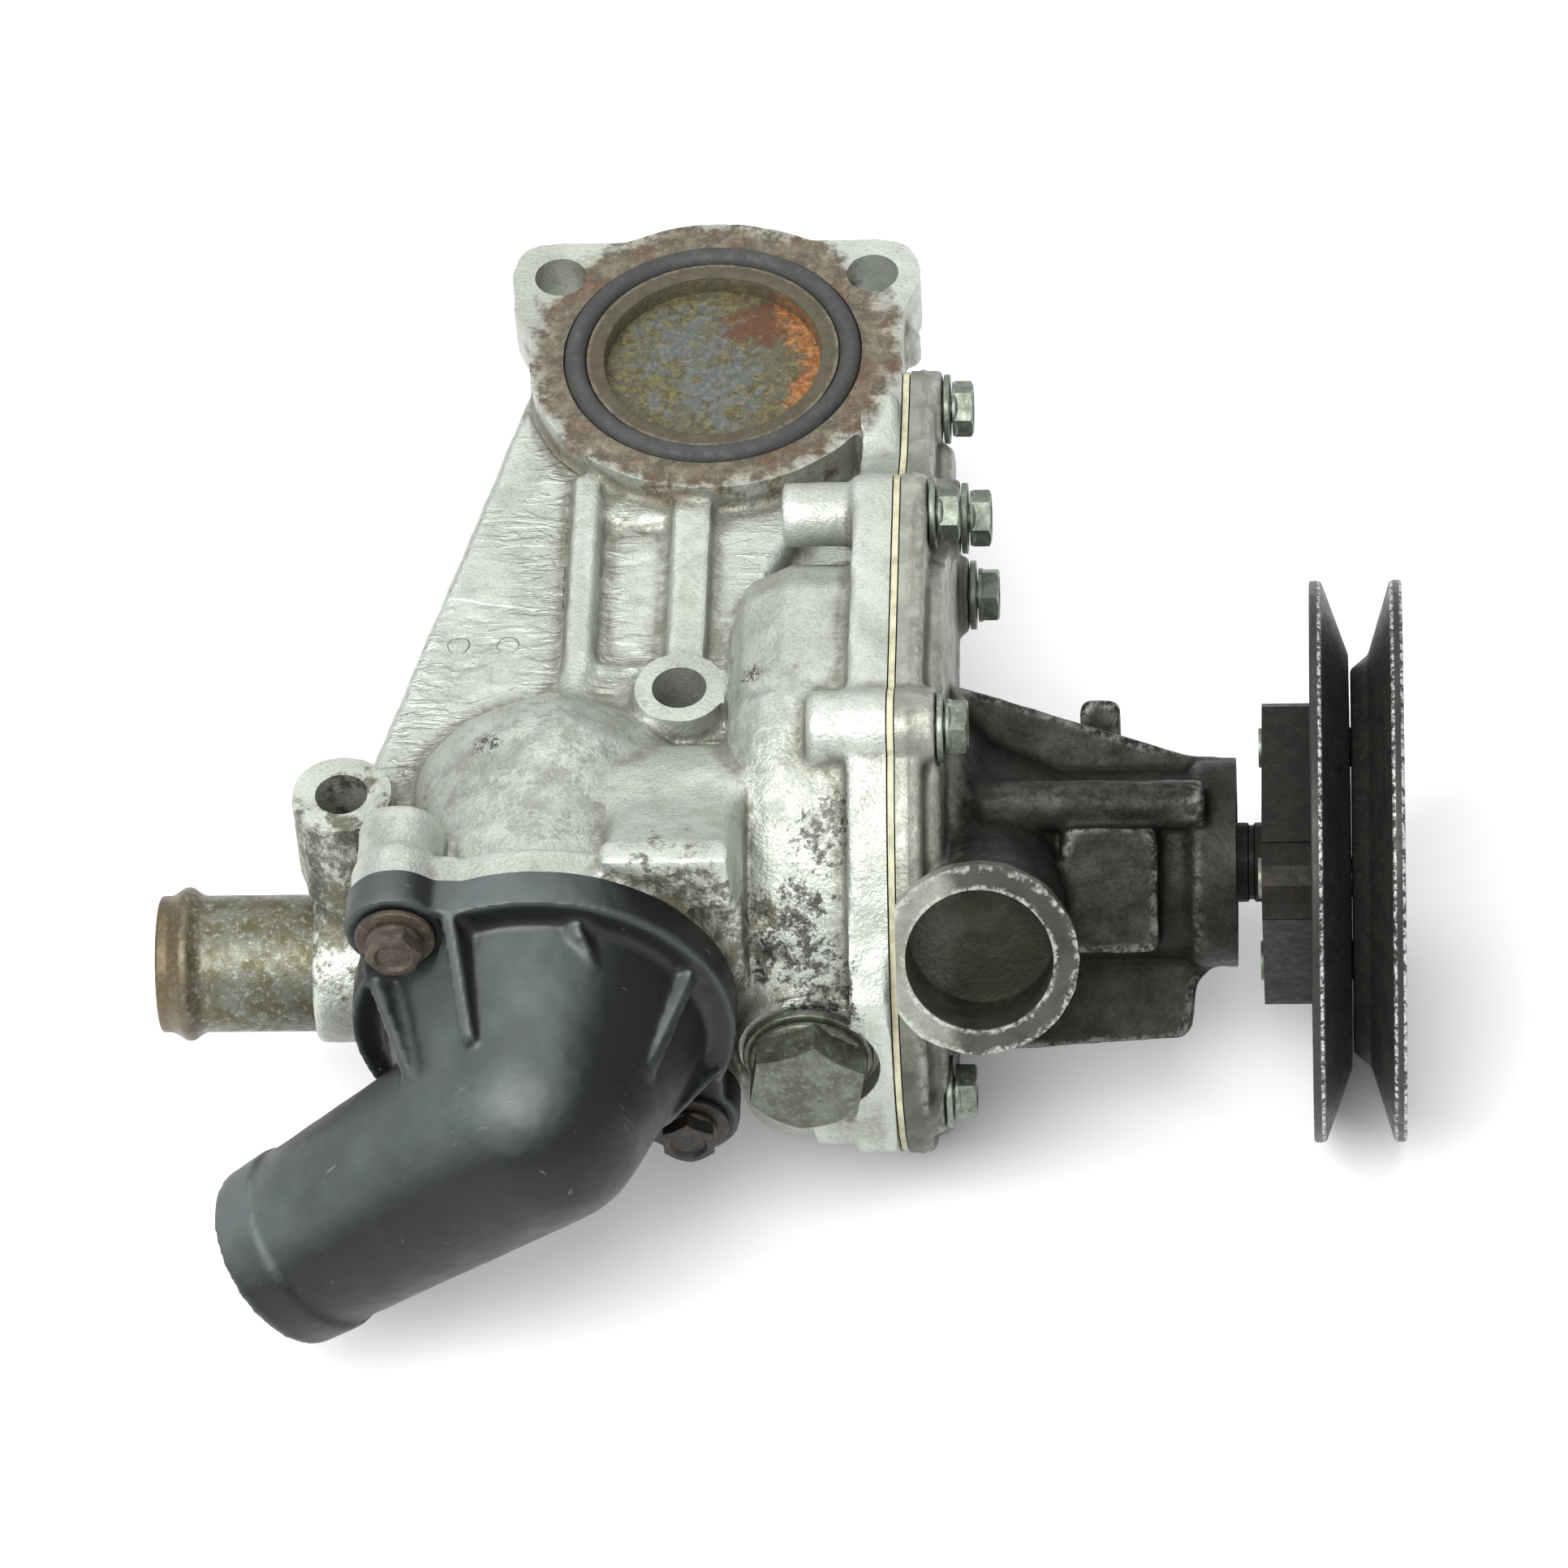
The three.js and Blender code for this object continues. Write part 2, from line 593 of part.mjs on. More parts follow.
function thermostatCover() {
  const { x, z } = THERMO;
  const inner = THERMO_FACE + GAP;
  const root = new THREE.Vector3(x, -inner - 5, z);
  const outlet = ELBOW_END.clone().sub(ELBOW_CORNER).normalize();
  const beadStart = ELBOW_END.clone().addScaledVector(outlet, -OUTLET.beadLong);
  const tubeEnd = ELBOW_END.clone().addScaledVector(outlet, -1);
  const past = ELBOW_END.clone().addScaledVector(outlet, 4);
  const shell = join([
    coverPlate(THERMO.flange, COVER_EAR_R, inner, COVER_FACE),
    strut(root, ELBOW_CORNER, ELBOW_ROOT_R, ELBOW_R),
    ball(ELBOW_CORNER, ELBOW_R),
    strut(ELBOW_CORNER, tubeEnd, OUTLET.root, OUTLET.tube),
    strut(beadStart, ELBOW_END, OUTLET.bead, OUTLET.bead - 0.6),
    coverGusset(116, 39, 25, 28),
    coverGusset(28, 36, 23, 26),
    coverGusset(-21, 37, 18, 26.5),
    coverGusset(155, 37.5, 25, 27),
    coverGusset(-90, 36, 14, 27),
    crossRib(),
  ]);
  const hollows = [
    bar('front', [x, z], 24.5, inner - 1, inner + 6),
    strut(new THREE.Vector3(x, -inner - 3, z), ELBOW_CORNER, 27, 18.5),
    ball(ELBOW_CORNER, 18.5),
    strut(ELBOW_CORNER, past, OUTLET.bore + 1, OUTLET.bore),
  ];
  for (const ear of COVER_EARS) {
    hollows.push(bar('front', [ear.x, ear.z], BOLT.hole, inner - 1, COVER_FACE + 9));
    hollows.push(bar('front', [ear.x, ear.z], 9.2, COVER_FACE, COVER_FACE + 12));
  }
  return cut(shell, hollows);
}

// ---------------------------------------------------------------- pump gasket and body

function pumpGasket() {
  const sheet = pumpFlange(GASKET_X, GASKET_X + GASKET_THICK, 0.3);
  const holes = [
    bar('x', [AXIS_Y, AXIS_Z], CHAMBER_R, 30, 60),
    block([30, -76, -31], [60, -12, -18]),
  ];
  for (const bolt of PUMP_BOLTS) holes.push(bar('x', [bolt.y, bolt.z], BOLT.hole, 30, 60));
  return cut(sheet, holes);
}

// Places a geometry drawn with x along the shaft, y towards the ridge and z towards the upper front.
const RIDGE_ANGLE = (41.8 * Math.PI) / 180;
function aboutShaft(geometry) {
  geometry.rotateX(RIDGE_ANGLE);
  geometry.translate(0, AXIS_Y, AXIS_Z);
  return toSolid(geometry);
}

function gusset(corners, front, back) {
  const geometry = new THREE.ExtrudeGeometry(outline(corners), {
    depth: front - back, bevelEnabled: false, curveSegments: 4,
  });
  geometry.translate(0, 0, back);
  return aboutShaft(geometry);
}

function bearingTube() {
  const { tube, collar, end } = BEARING;
  return turned('x', [AXIS_Y, AXIS_Z], [
    [0, 47], [33, 47], [32, 52], [25, 58], [tube, 72], [tube, 97], [collar, 99.5], [collar, end],
    [0, end],
  ], 32);
}

function returnPipeAxis() {
  const tilt = (RETURN_PIPE.tilt * Math.PI) / 180;
  return new THREE.Vector3(0, -Math.cos(tilt), Math.sin(tilt));
}

function returnPipePoint(distance) {
  const root = new THREE.Vector3(RETURN_PIPE.x, AXIS_Y, AXIS_Z);
  return root.addScaledVector(returnPipeAxis(), distance);
}

function pumpBody() {
  const { sleeve, left, end } = BEARING;
  const { reach, neck, lip, bore, deep } = RETURN_PIPE;
  const deck = voluteOutline();
  const tail = outline([[-64, -56, 6], [-34, -52, 6], [-16, -24, 6], [-16, -9, 5], [-44, -6], [-64, 6]]);
  const parts = [
    pumpFlange(BODY_X, BODY_PLATE_X),
    prism('x', deck, 44, BODY_DECK_X, 1.5, 2),
    prism('x', tail, 44, BODY_DECK_X, 1),
    bearingTube(),
    strut(returnPipePoint(10), returnPipePoint(reach - 7), neck, neck),
    strut(returnPipePoint(reach - 7), returnPipePoint(reach - 4), neck, lip),
    strut(returnPipePoint(reach - 4), returnPipePoint(reach), lip, lip),
    gusset([[48, 0], [106, 0], [106, 21, 1], [98, 21.5, 2], [50, 36.5, 2], [48, 36.5]], 3, -3),
    gusset([[48, 0], [48, -38, 2], [98, -35, 3], [99, -24, 2], [106, -18], [106, 0]], 1, -6),
    gusset([[73, -17.5, 2], [92, -17.5, 2], [92, 7.3, 2], [73, 7.3, 2]], 25.5, 5),
    gusset([[76, 14, 2], [84, 14, 2], [84, 33, 2], [76, 33, 2]], -9, -16),
  ];
  for (const bolt of PUMP_BOLTS) {
    parts.push(bar('x', [bolt.y, bolt.z], 8, BODY_X, bolt.seat));
  }
  const ribBoss = new THREE.CylinderGeometry(4.8, 5.4, 52, 20);
  ribBoss.rotateZ(-Math.PI / 2);
  ribBoss.translate(75.5, 11.8, 19);
  parts.push(aboutShaft(ribBoss));
  const hollows = [
    bar('x', [AXIS_Y, AXIS_Z], CHAMBER_R - 1, BODY_X - 1, 44.5),
    bar('x', [AXIS_Y, AXIS_Z], 13.4, BODY_X - 1, 60),
    bar('x', [AXIS_Y, AXIS_Z], 10, 55, end + 1),
    bar('x', [AXIS_Y, AXIS_Z], sleeve + GAP, left - GAP, end + 1),
    strut(returnPipePoint(reach - deep), returnPipePoint(reach + 5), bore, bore),
    block([30, -76, -31], [44, -34, -18]),
  ];
  for (const bolt of PUMP_BOLTS) {
    hollows.push(bar('x', [bolt.y, bolt.z], BOLT.hole, 30, 60));
    hollows.push(bar('x', [bolt.y, bolt.z], 7.9, bolt.seat, 64));
  }
  return cut(join(parts), hollows);
}

// ---------------------------------------------------------------- screws

// A hexagon screw with a flanged head, in front of its seat and with its shank behind it.
function flangedScrew(frame, centre, seat, tip, turn) {
  return join([
    prism(frame, hexagon(BOLT.flats, centre, turn), seat + 0.5, seat + BOLT.head, 0.5),
    bar(frame, centre, BOLT.collar, seat, seat + 1),
    bar(frame, centre, BOLT.shank, tip, seat + 0.8),
  ]);
}

function washer(frame, centre, seat, outer = BOLT.washer) {
  return ring(frame, centre, BOLT.hole, outer, seat, seat + BOLT.washerThick);
}

// ---------------------------------------------------------------- rotor

function pumpShaft() {
  return turned('x', [AXIS_Y, AXIS_Z], [
    [0, 21], [SHAFT_R - 0.6, 21], [SHAFT_R, 22], [SHAFT_R, 126], [SHAFT_R - 0.6, 126.8], [0, 126.8],
  ], 20);
}

const IMPELLER = { r: 38, back: 36.4, plate: 2.6, hub: 12, front: 21, vanes: 6 };

function impellerVane(index) {
  const { r, back, vanes } = IMPELLER;
  const sweep = (share) => (index / vanes) * Math.PI * 2 + share * 0.9;
  const at = (radius, share, shift) => {
    const angle = sweep(share) + shift / radius;
    return new THREE.Vector2(AXIS_Y + radius * Math.cos(angle), AXIS_Z + radius * Math.sin(angle));
  };
  const inner = IMPELLER.hub - 2;
  const steps = [0, 0.25, 0.5, 0.75, 1];
  const radius = (share) => inner + (r - 0.5 - inner) * share;
  const near = steps.map((share) => at(radius(share), share, -1.1));
  const far = steps.map((share) => at(radius(share), share, 1.1)).reverse();
  return prism('x', new THREE.Shape([...near, ...far]), 24, back + 0.5);
}

function impeller() {
  const { r, back, plate, hub, front, vanes } = IMPELLER;
  const parts = [
    bar('x', [AXIS_Y, AXIS_Z], r, back, back + plate),
    bar('x', [AXIS_Y, AXIS_Z], hub, front, back + 1),
  ];
  for (let i = 0; i < vanes; i += 1) parts.push(impellerVane(i));
  return join(parts).subtract(bar('x', [AXIS_Y, AXIS_Z], SHAFT_R + GAP, 10, 60));
}

function lobePlace(index) {
  const angle = RIDGE_ANGLE + Math.PI / 2 + 0.12 + (index * 2 * Math.PI) / 3;
  return [AXIS_Y + HUB.circle * Math.cos(angle), AXIS_Z + HUB.circle * Math.sin(angle)];
}

// Three round lobes joined by straight sides, with a boss for the shaft.
function driveHub() {
  const { left, right, lobe, bore } = HUB;
  const places = [0, 1, 2].map(lobePlace);
  const arms = places.map((place) => bar('x', place, lobe, left, right));
  const sides = places.map((place, i) => {
    const next = places[(i + 1) % 3];
    const out = new THREE.Vector2(next[1] - place[1], place[0] - next[0]).setLength(lobe);
    return outline([
      [AXIS_Y, AXIS_Z], [place[0] + out.x, place[1] + out.y], [next[0] + out.x, next[1] + out.y],
    ]);
  });
  const fills = sides.map((side) => prism('x', side, left, right));
  const holes = places.map((place) => bar('x', place, 4.3, left - 1, right + 1));
  const whole = join([...arms, ...fills, bar('x', [AXIS_Y, AXIS_Z], 18, left, right)]);
  return cut(whole, [...holes, bar('x', [AXIS_Y, AXIS_Z], bore, left - 1, right + 1)]);
}

// Pressed halves of the V-belt pulley: flat in the middle and dished to make one groove wall each.
function pulleyHalf(profile) {
  const holes = [0, 1, 2].map((i) => bar('x', lobePlace(i), 4.3, 110, 160));
  const whole = turned('x', [AXIS_Y, AXIS_Z], [...profile, profile[0]], 40);
  return cut(whole, holes);
}

function pulleyInnerHalf() {
  return pulleyHalf([
    [13, 127.3], [37.5, 127.3], [55, PULLEY_LEFT], [PULLEY_R, PULLEY_LEFT], [PULLEY_R, 125],
    [41.5, 130], [13, 130.3],
  ]);
}

function pulleyOuterHalf() {
  return pulleyHalf([
    [13, 130.6], [38.5, 130.6], [41.5, 134.2], [PULLEY_R, 138.7], [PULLEY_R, PULLEY_RIGHT],
    [55, PULLEY_RIGHT], [40, 137.2], [36.5, 133.6], [13, 133.6],
  ]);
}

function pulleyScrew(index) {
  const place = lobePlace(index);
  return join([
    prism('x', hexagon(13, place, 0.3), 134.3, 139.2, 0.5),
    bar('x', place, 7.4, 133.9, 135),
    bar('x', place, 4, 112, 134.5),
  ]);
}

// ---------------------------------------------------------------- scene graph

const FINISHES = {
  castAluminium: { color: 0xbcc2ba, roughness: 0.55, metalness: 0.7 },
  darkCastAluminium: { color: 0x6a6a60, roughness: 0.6, metalness: 0.6 },
  blackPlastic: { color: 0x2c3236, roughness: 0.5, metalness: 0 },
  rubber: { color: 0x2a2b2b, roughness: 0.85, metalness: 0 },
  gasketPaper: { color: 0xd0cba4, roughness: 0.9, metalness: 0 },
  zincSteel: { color: 0x8d9484, roughness: 0.5, metalness: 0.8 },
  rustySteel: { color: 0x5a4638, roughness: 0.8, metalness: 0.4 },
  darkSteel: { color: 0x3b3733, roughness: 0.5, metalness: 0.8 },
  brightSteel: { color: 0xb4b6b8, roughness: 0.3, metalness: 1 },
  brass: { color: 0xa88f4e, roughness: 0.4, metalness: 0.9 },
  passivatedSteel: { color: 0x8a846c, roughness: 0.6, metalness: 0.7 },
};

const pump = new THREE.Group();

function place(name, solid, finish) {
  const mesh = new THREE.Mesh(toGeometry(solid), new THREE.MeshStandardMaterial(FINISHES[finish]));
  mesh.name = name;
  pump.add(mesh);
}

place('housing', housing(), 'castAluminium');
place('port_o_ring', portSeal(), 'rubber');
place('heater_stub', heaterStub(), 'passivatedSteel');
place('drain_plug', drainPlug(), 'zincSteel');
place('drain_plug_seal', drainPlugSeal(), 'zincSteel');

place('thermostat_seal_ring', thermostatSealRing(), 'rubber');
place('thermostat_frame', thermostatFrame(), 'brass');
place('thermostat_valve', thermostatValve(), 'brass');
place('thermostat_spring', thermostatSpring(), 'brightSteel');
place('thermostat_cover', thermostatCover(), 'blackPlastic');
COVER_EARS.forEach((ear, i) => {
  const seat = COVER_FACE + GAP;
  const head = seat + BOLT.washerThick + GAP;
  const screw = flangedScrew('front', [ear.x, ear.z], head, 140, 0.25 + i * 0.4);
  place(`cover_washer_${i + 1}`, washer('front', [ear.x, ear.z], seat, 7.9), 'rustySteel');
  place(`cover_bolt_${i + 1}`, screw, 'rustySteel');
});

place('pump_gasket', pumpGasket(), 'gasketPaper');
place('pump_body', pumpBody(), 'darkCastAluminium');
PUMP_BOLTS.forEach((bolt, i) => {
  const seat = bolt.seat + GAP;
  const head = seat + BOLT.washerThick + GAP;
  const screw = flangedScrew('x', [bolt.y, bolt.z], head, bolt.tip, 0.5 + i * 0.7);
  place(`pump_washer_${i + 1}`, washer('x', [bolt.y, bolt.z], seat), 'zincSteel');
  place(`pump_bolt_${i + 1}`, screw, 'zincSteel');
});

const shaftPlace = [AXIS_Y, AXIS_Z];
const bearing = ring('x', shaftPlace, SHAFT_R + 0.1, BEARING.sleeve, BEARING.left, BEARING.right);
place('shaft_bearing', bearing, 'brightSteel');
place('shaft_seal', ring('x', shaftPlace, SHAFT_R + 0.4, 13, 45, 56), 'darkSteel');
place('seal_counter_ring', ring('x', shaftPlace, SHAFT_R + GAP, 12, 39.4, 44.6), 'brightSteel');
place('pump_shaft', pumpShaft(), 'darkSteel');
place('impeller', impeller(), 'darkCastAluminium');
place('drive_hub', driveHub(), 'darkSteel');
place('pulley_inner_half', pulleyInnerHalf(), 'darkSteel');
place('pulley_outer_half', pulleyOuterHalf(), 'darkSteel');
[0, 1, 2].forEach((i) => place(`pulley_bolt_${i + 1}`, pulleyScrew(i), 'zincSteel'));

export default pump;
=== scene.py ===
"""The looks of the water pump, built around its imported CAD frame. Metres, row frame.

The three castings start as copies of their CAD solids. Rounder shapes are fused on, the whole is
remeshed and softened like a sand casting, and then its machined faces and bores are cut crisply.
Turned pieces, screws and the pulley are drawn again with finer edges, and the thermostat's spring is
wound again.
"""

import json
import math

import bpy
import numpy as np
from mathutils import Matrix, Vector

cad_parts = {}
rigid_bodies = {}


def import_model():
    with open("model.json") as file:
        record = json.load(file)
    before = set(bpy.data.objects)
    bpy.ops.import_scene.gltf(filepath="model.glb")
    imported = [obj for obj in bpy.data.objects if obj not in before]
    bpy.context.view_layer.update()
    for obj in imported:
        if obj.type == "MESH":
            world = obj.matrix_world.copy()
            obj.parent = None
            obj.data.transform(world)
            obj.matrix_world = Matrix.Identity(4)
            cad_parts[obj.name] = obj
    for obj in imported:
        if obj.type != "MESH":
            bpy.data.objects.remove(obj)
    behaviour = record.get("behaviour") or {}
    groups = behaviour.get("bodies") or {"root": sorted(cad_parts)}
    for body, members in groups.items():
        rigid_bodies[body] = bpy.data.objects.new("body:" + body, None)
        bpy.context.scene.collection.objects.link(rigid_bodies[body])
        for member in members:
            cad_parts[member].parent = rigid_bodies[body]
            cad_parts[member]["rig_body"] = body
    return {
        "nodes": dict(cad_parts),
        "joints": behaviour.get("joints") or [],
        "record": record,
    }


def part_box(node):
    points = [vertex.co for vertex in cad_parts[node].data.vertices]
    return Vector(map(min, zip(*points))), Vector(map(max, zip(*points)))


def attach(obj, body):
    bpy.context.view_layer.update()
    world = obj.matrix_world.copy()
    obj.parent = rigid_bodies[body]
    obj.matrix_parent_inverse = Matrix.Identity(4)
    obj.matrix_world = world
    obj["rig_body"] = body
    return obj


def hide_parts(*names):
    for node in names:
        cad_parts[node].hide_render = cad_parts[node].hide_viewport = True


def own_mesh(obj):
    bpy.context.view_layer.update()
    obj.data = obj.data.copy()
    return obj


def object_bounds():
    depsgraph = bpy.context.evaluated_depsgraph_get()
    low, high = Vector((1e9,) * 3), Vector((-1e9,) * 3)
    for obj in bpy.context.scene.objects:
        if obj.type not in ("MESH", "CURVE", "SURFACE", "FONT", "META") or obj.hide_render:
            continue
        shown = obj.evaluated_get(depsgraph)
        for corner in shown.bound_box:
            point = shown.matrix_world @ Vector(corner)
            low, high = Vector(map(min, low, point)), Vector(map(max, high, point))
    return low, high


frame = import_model()
cad_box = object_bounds()
record = frame["record"]

# ---------------------------------------------------------------- places, read from the frame

MM = 0.001
GAP = 0.3 * MM  # between pieces that touch on the real pump
PROUD = 4 * MM  # how far a face is left proud before it is machined back

X = Vector((1, 0, 0))
Y = Vector((0, 1, 0))
Z = Vector((0, 0, 1))
FRONT = -Y

MOUNTS = {mount["name"]: mount for mount in record["mounts"]}
JOINTS = {joint["name"]: joint for joint in frame["joints"]}


def middle(node):
    low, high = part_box(node)
    return (low + high) / 2


def foot(point, axis):
    """Where the line through a point along an axis meets the plane at 0."""
    return point - axis * point.dot(axis)


def opening_box(name):
    stated = next(o for o in record["physics"]["openings"] if o["name"] == name)
    return [Vector(corner) for corner in stated["box_m"]]


def opening(name):
    """The middle of one of the record's stated openings."""
    low, high = opening_box(name)
    return (low + high) / 2


SHAFT = Vector(JOINTS["rotor_spin"]["pos_m"])
PUMP_SCREWS = [f"pump_bolt_{i}" for i in range(1, 8)]
COVER_SCREWS = ["cover_bolt_1", "cover_bolt_2"]
EARS = [opening("left_ear_hole"), opening("right_ear_hole")]
MIDDLE_BOSS = opening("middle_boss_hole")
FRONT_BOSS = opening("front_boss_hole")
THERMOSTAT = middle("thermostat_seal_ring")
PLUG = middle("drain_plug")
STUB = middle("heater_stub")

HOUSING_FACE_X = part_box("pump_gasket")[0].x - GAP
BODY_FACE_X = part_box("pump_gasket")[1].x + GAP
COVER_JOINT_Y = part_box("thermostat_cover")[1].y
HOUSING_FRONT_Y = COVER_JOINT_Y + GAP
COVER_FACE_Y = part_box("cover_washer_1")[1].y + GAP
PLUG_FACE_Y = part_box("drain_plug_seal")[1].y + GAP
PORT_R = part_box("housing")[1].y
BODY_END_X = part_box("pump_body")[1].x

OUTLET_AXIS = Vector(MOUNTS["hose_elbow_end"]["axis"])
OUTLET_MOUTH = opening("hose_elbow_mouth")
OUTLET_END = OUTLET_MOUTH + OUTLET_AXIS * (
    (Vector(MOUNTS["hose_elbow_end"]["pos_m"]) - OUTLET_MOUTH).dot(OUTLET_AXIS)
)
PIPE_AXIS = Vector(MOUNTS["return_pipe_face"]["axis"]).normalized()
PIPE_BORE = opening("return_pipe_bore")
PIPE_END = PIPE_BORE + PIPE_AXIS * (
    (Vector(MOUNTS["return_pipe_face"]["pos_m"]) - PIPE_BORE).dot(PIPE_AXIS)
)


# ---------------------------------------------------------------- shapes as (points, faces)


def closed_rings(rings, cap):
    """Joins rings of equal length, one after another, into a closed shape."""
    count = len(rings[0])
    points = np.concatenate(rings)
    faces = []
    for level in range(len(rings) - 1 + (not cap)):
        low = level * count
        high = ((level + 1) % len(rings)) * count
        for i in range(count):
            j = (i + 1) % count
            faces.append((low + i, low + j, high + j, high + i))
    if cap:
        faces.append(tuple(reversed(range(count))))
        last = (len(rings) - 1) * count
        faces.append(tuple(range(last, last + count)))
    return points, faces


def lathe(origin, axis, profile, sides=96, turn=0.0, cap=True):
    """A turned shape through (radius, distance) pairs, each of which may depend on the angle."""
    axis = Vector(axis).normalized()
    across = X if abs(axis.x) < 0.9 else Y
    across = (across - axis * across.dot(axis)).normalized()
    up = axis.cross(across)
    angles = turn + np.linspace(0, 2 * math.pi, sides, endpoint=False)
    cosine, sine = np.cos(angles)[:, None], np.sin(angles)[:, None]
    around = cosine * np.array(across) + sine * np.array(up)
    rings = []
    for radius, distance in profile:
        r = radius(angles - turn) if callable(radius) else np.full(sides, max(radius, 1e-6))
        d = distance(angles - turn) if callable(distance) else np.full(sides, distance)
        rings.append(np.array(origin) + around * r[:, None] + d[:, None] * np.array(axis))
    return closed_rings(rings, cap)


def rod(origin, axis, radius, start, stop, sides=64):
    return lathe(origin, axis, [(radius, start), (radius, stop)], sides)


def loop(origin, axis, inner, outer, start, stop, sides=96):
    """A plain ring of rectangular section."""
    profile = [(inner, start), (outer, start), (outer, stop), (inner, stop)]
    return lathe(origin, axis, profile, sides, cap=False)


def between(start, stop, start_radius, stop_radius, sides=64):
    along = stop - start
    return lathe(start, along, [(start_radius, 0), (stop_radius, along.length)], sides)


def globe(centre, radius, levels=48, sides=96):
    heights = np.linspace(0, math.pi, levels)
    profile = [(radius * math.sin(a), -radius * math.cos(a)) for a in heights]
    return lathe(centre, Z, profile, sides)


def onto_globe(start, start_radius, centre, radius):
    """A cone from a round start that meets a globe without a crease."""
    along = centre - start
    lean = 0.0
    for _ in range(12):
        lean = math.atan((start_radius - radius / math.cos(lean)) / along.length)
    touch = centre + along.normalized() * radius * math.sin(lean)
    return between(start, touch, start_radius, radius * math.cos(lean), 96)


def slab(low, high):
    corners = np.array([[x, y, z] for z in (0, 1) for y in (0, 1) for x in (0, 1)], float)
    points = np.array(low) + corners * (np.array(high) - np.array(low))
    faces = [(0, 2, 3, 1), (4, 5, 7, 6), (0, 1, 5, 4), (2, 6, 7, 3), (0, 4, 6, 2), (1, 3, 7, 5)]
    return points, faces


def fan(levels, start_degrees, stop_degrees, count=90):
    """The round end of the pump: levels of (x, inset), as a wedge about the shaft."""
    angles = np.radians(np.linspace(start_degrees, stop_degrees, count))
    rings = []
    for x, inset in levels:
        radius = VOLUTE_R + VOLUTE_SWING * np.cos(2 * (angles - math.pi / 3)) - inset
        ring = np.empty((count + 1, 3))
        ring[:, 0] = x
        ring[:count, 1] = SHAFT.y + radius * np.cos(angles)
        ring[:count, 2] = SHAFT.z + radius * np.sin(angles)
        ring[count, 1:] = SHAFT.y, SHAFT.z
        rings.append(ring)
    return closed_rings(rings, cap=True)


def rounded(corners, radius, steps=4):
    """The same profile with each of its corners turned into an arc-like curve."""
    result = []
    count = len(corners)
    for i, corner in enumerate(corners):
        here = np.array(corner, float)
        before = np.array(corners[i - 1], float) - here
        after = np.array(corners[(i + 1) % count], float) - here
        reach = min(radius, 0.45 * np.linalg.norm(before), 0.45 * np.linalg.norm(after))
        first = here + before / np.linalg.norm(before) * reach
        last = here + after / np.linalg.norm(after) * reach
        for step in range(steps + 1):
            t = step / steps
            result.append(tuple((1 - t) ** 2 * first + 2 * t * (1 - t) * here + t * t * last))
    return result


# ---------------------------------------------------------------- objects and meshes


def make(name, shapes):
    """One object from several closed shapes."""
    points, faces, start = [], [], 0
    for shape_points, shape_faces in shapes:
        points.append(shape_points)
        faces.extend(tuple(start + i for i in face) for face in shape_faces)
        start += len(shape_points)
    mesh = bpy.data.meshes.new(name)
    mesh.from_pydata(np.concatenate(points).tolist(), [], faces)
    mesh.update()
    piece = bpy.data.objects.new(name, mesh)
    bpy.context.scene.collection.objects.link(piece)
    return piece


def cad_shape(node):
    mesh = frame["nodes"][node].data
    return get_points(mesh), [tuple(polygon.vertices) for polygon in mesh.polygons]


def get_points(mesh):
    flat = np.empty(len(mesh.vertices) * 3)
    mesh.vertices.foreach_get("co", flat)
    return flat.reshape(-1, 3)


def set_points(mesh, points):
    mesh.vertices.foreach_set("co", points.ravel())
    mesh.update()


def get_normals(mesh):
    flat = np.empty(len(mesh.vertices) * 3)
    mesh.vertices.foreach_get("normal", flat)
    return flat.reshape(-1, 3)


def bake_modifiers(piece):
    """Replaces the mesh by what its modifiers make of it."""
    evaluated = piece.evaluated_get(bpy.context.evaluated_depsgraph_get())
    mesh = bpy.data.meshes.new_from_object(evaluated)
    piece.modifiers.clear()
    piece.data = mesh


def remesh(piece, voxel):
    modifier = piece.modifiers.new("remesh", "REMESH")
    modifier.mode = "VOXEL"
    modifier.voxel_size = voxel
    bake_modifiers(piece)


def cut(piece, shapes):
    """Cuts closed shapes out of a closed mesh, one after another."""
    tools = []
    for shape in shapes:
        tool = make("tool", [shape])
        modifier = piece.modifiers.new("cut", "BOOLEAN")
        modifier.operation = "DIFFERENCE"
        modifier.solver = "MANIFOLD"
        modifier.object = tool
        tools.append(tool)
    bake_modifiers(piece)
    for tool in tools:
        bpy.data.objects.remove(tool)


def smooth_shading(piece, degrees=35):
    mesh = piece.data
    mesh.polygons.foreach_set("use_smooth", np.ones(len(mesh.polygons), bool))
    mesh.set_sharp_from_angle(angle=math.radians(degrees))


def edge_ends(mesh):
    flat = np.empty(len(mesh.edges) * 2, int)
    mesh.edges.foreach_get("vertices", flat)
    return flat.reshape(-1, 2)


def relax(points, ends, rounds, share=0.5):
    """Moves each point part of the way to the middle of its neighbours, again and again."""
    count = len(points)
    neighbours = np.bincount(ends.ravel(), minlength=count).clip(1)
    for _ in range(rounds):
        total = np.empty_like(points)
        for axis in range(3):
            total[:, axis] = np.bincount(ends[:, 0], points[ends[:, 1], axis], count)
            total[:, axis] += np.bincount(ends[:, 1], points[ends[:, 0], axis], count)
        points = points + share * (total / neighbours[:, None] - points)
    return points


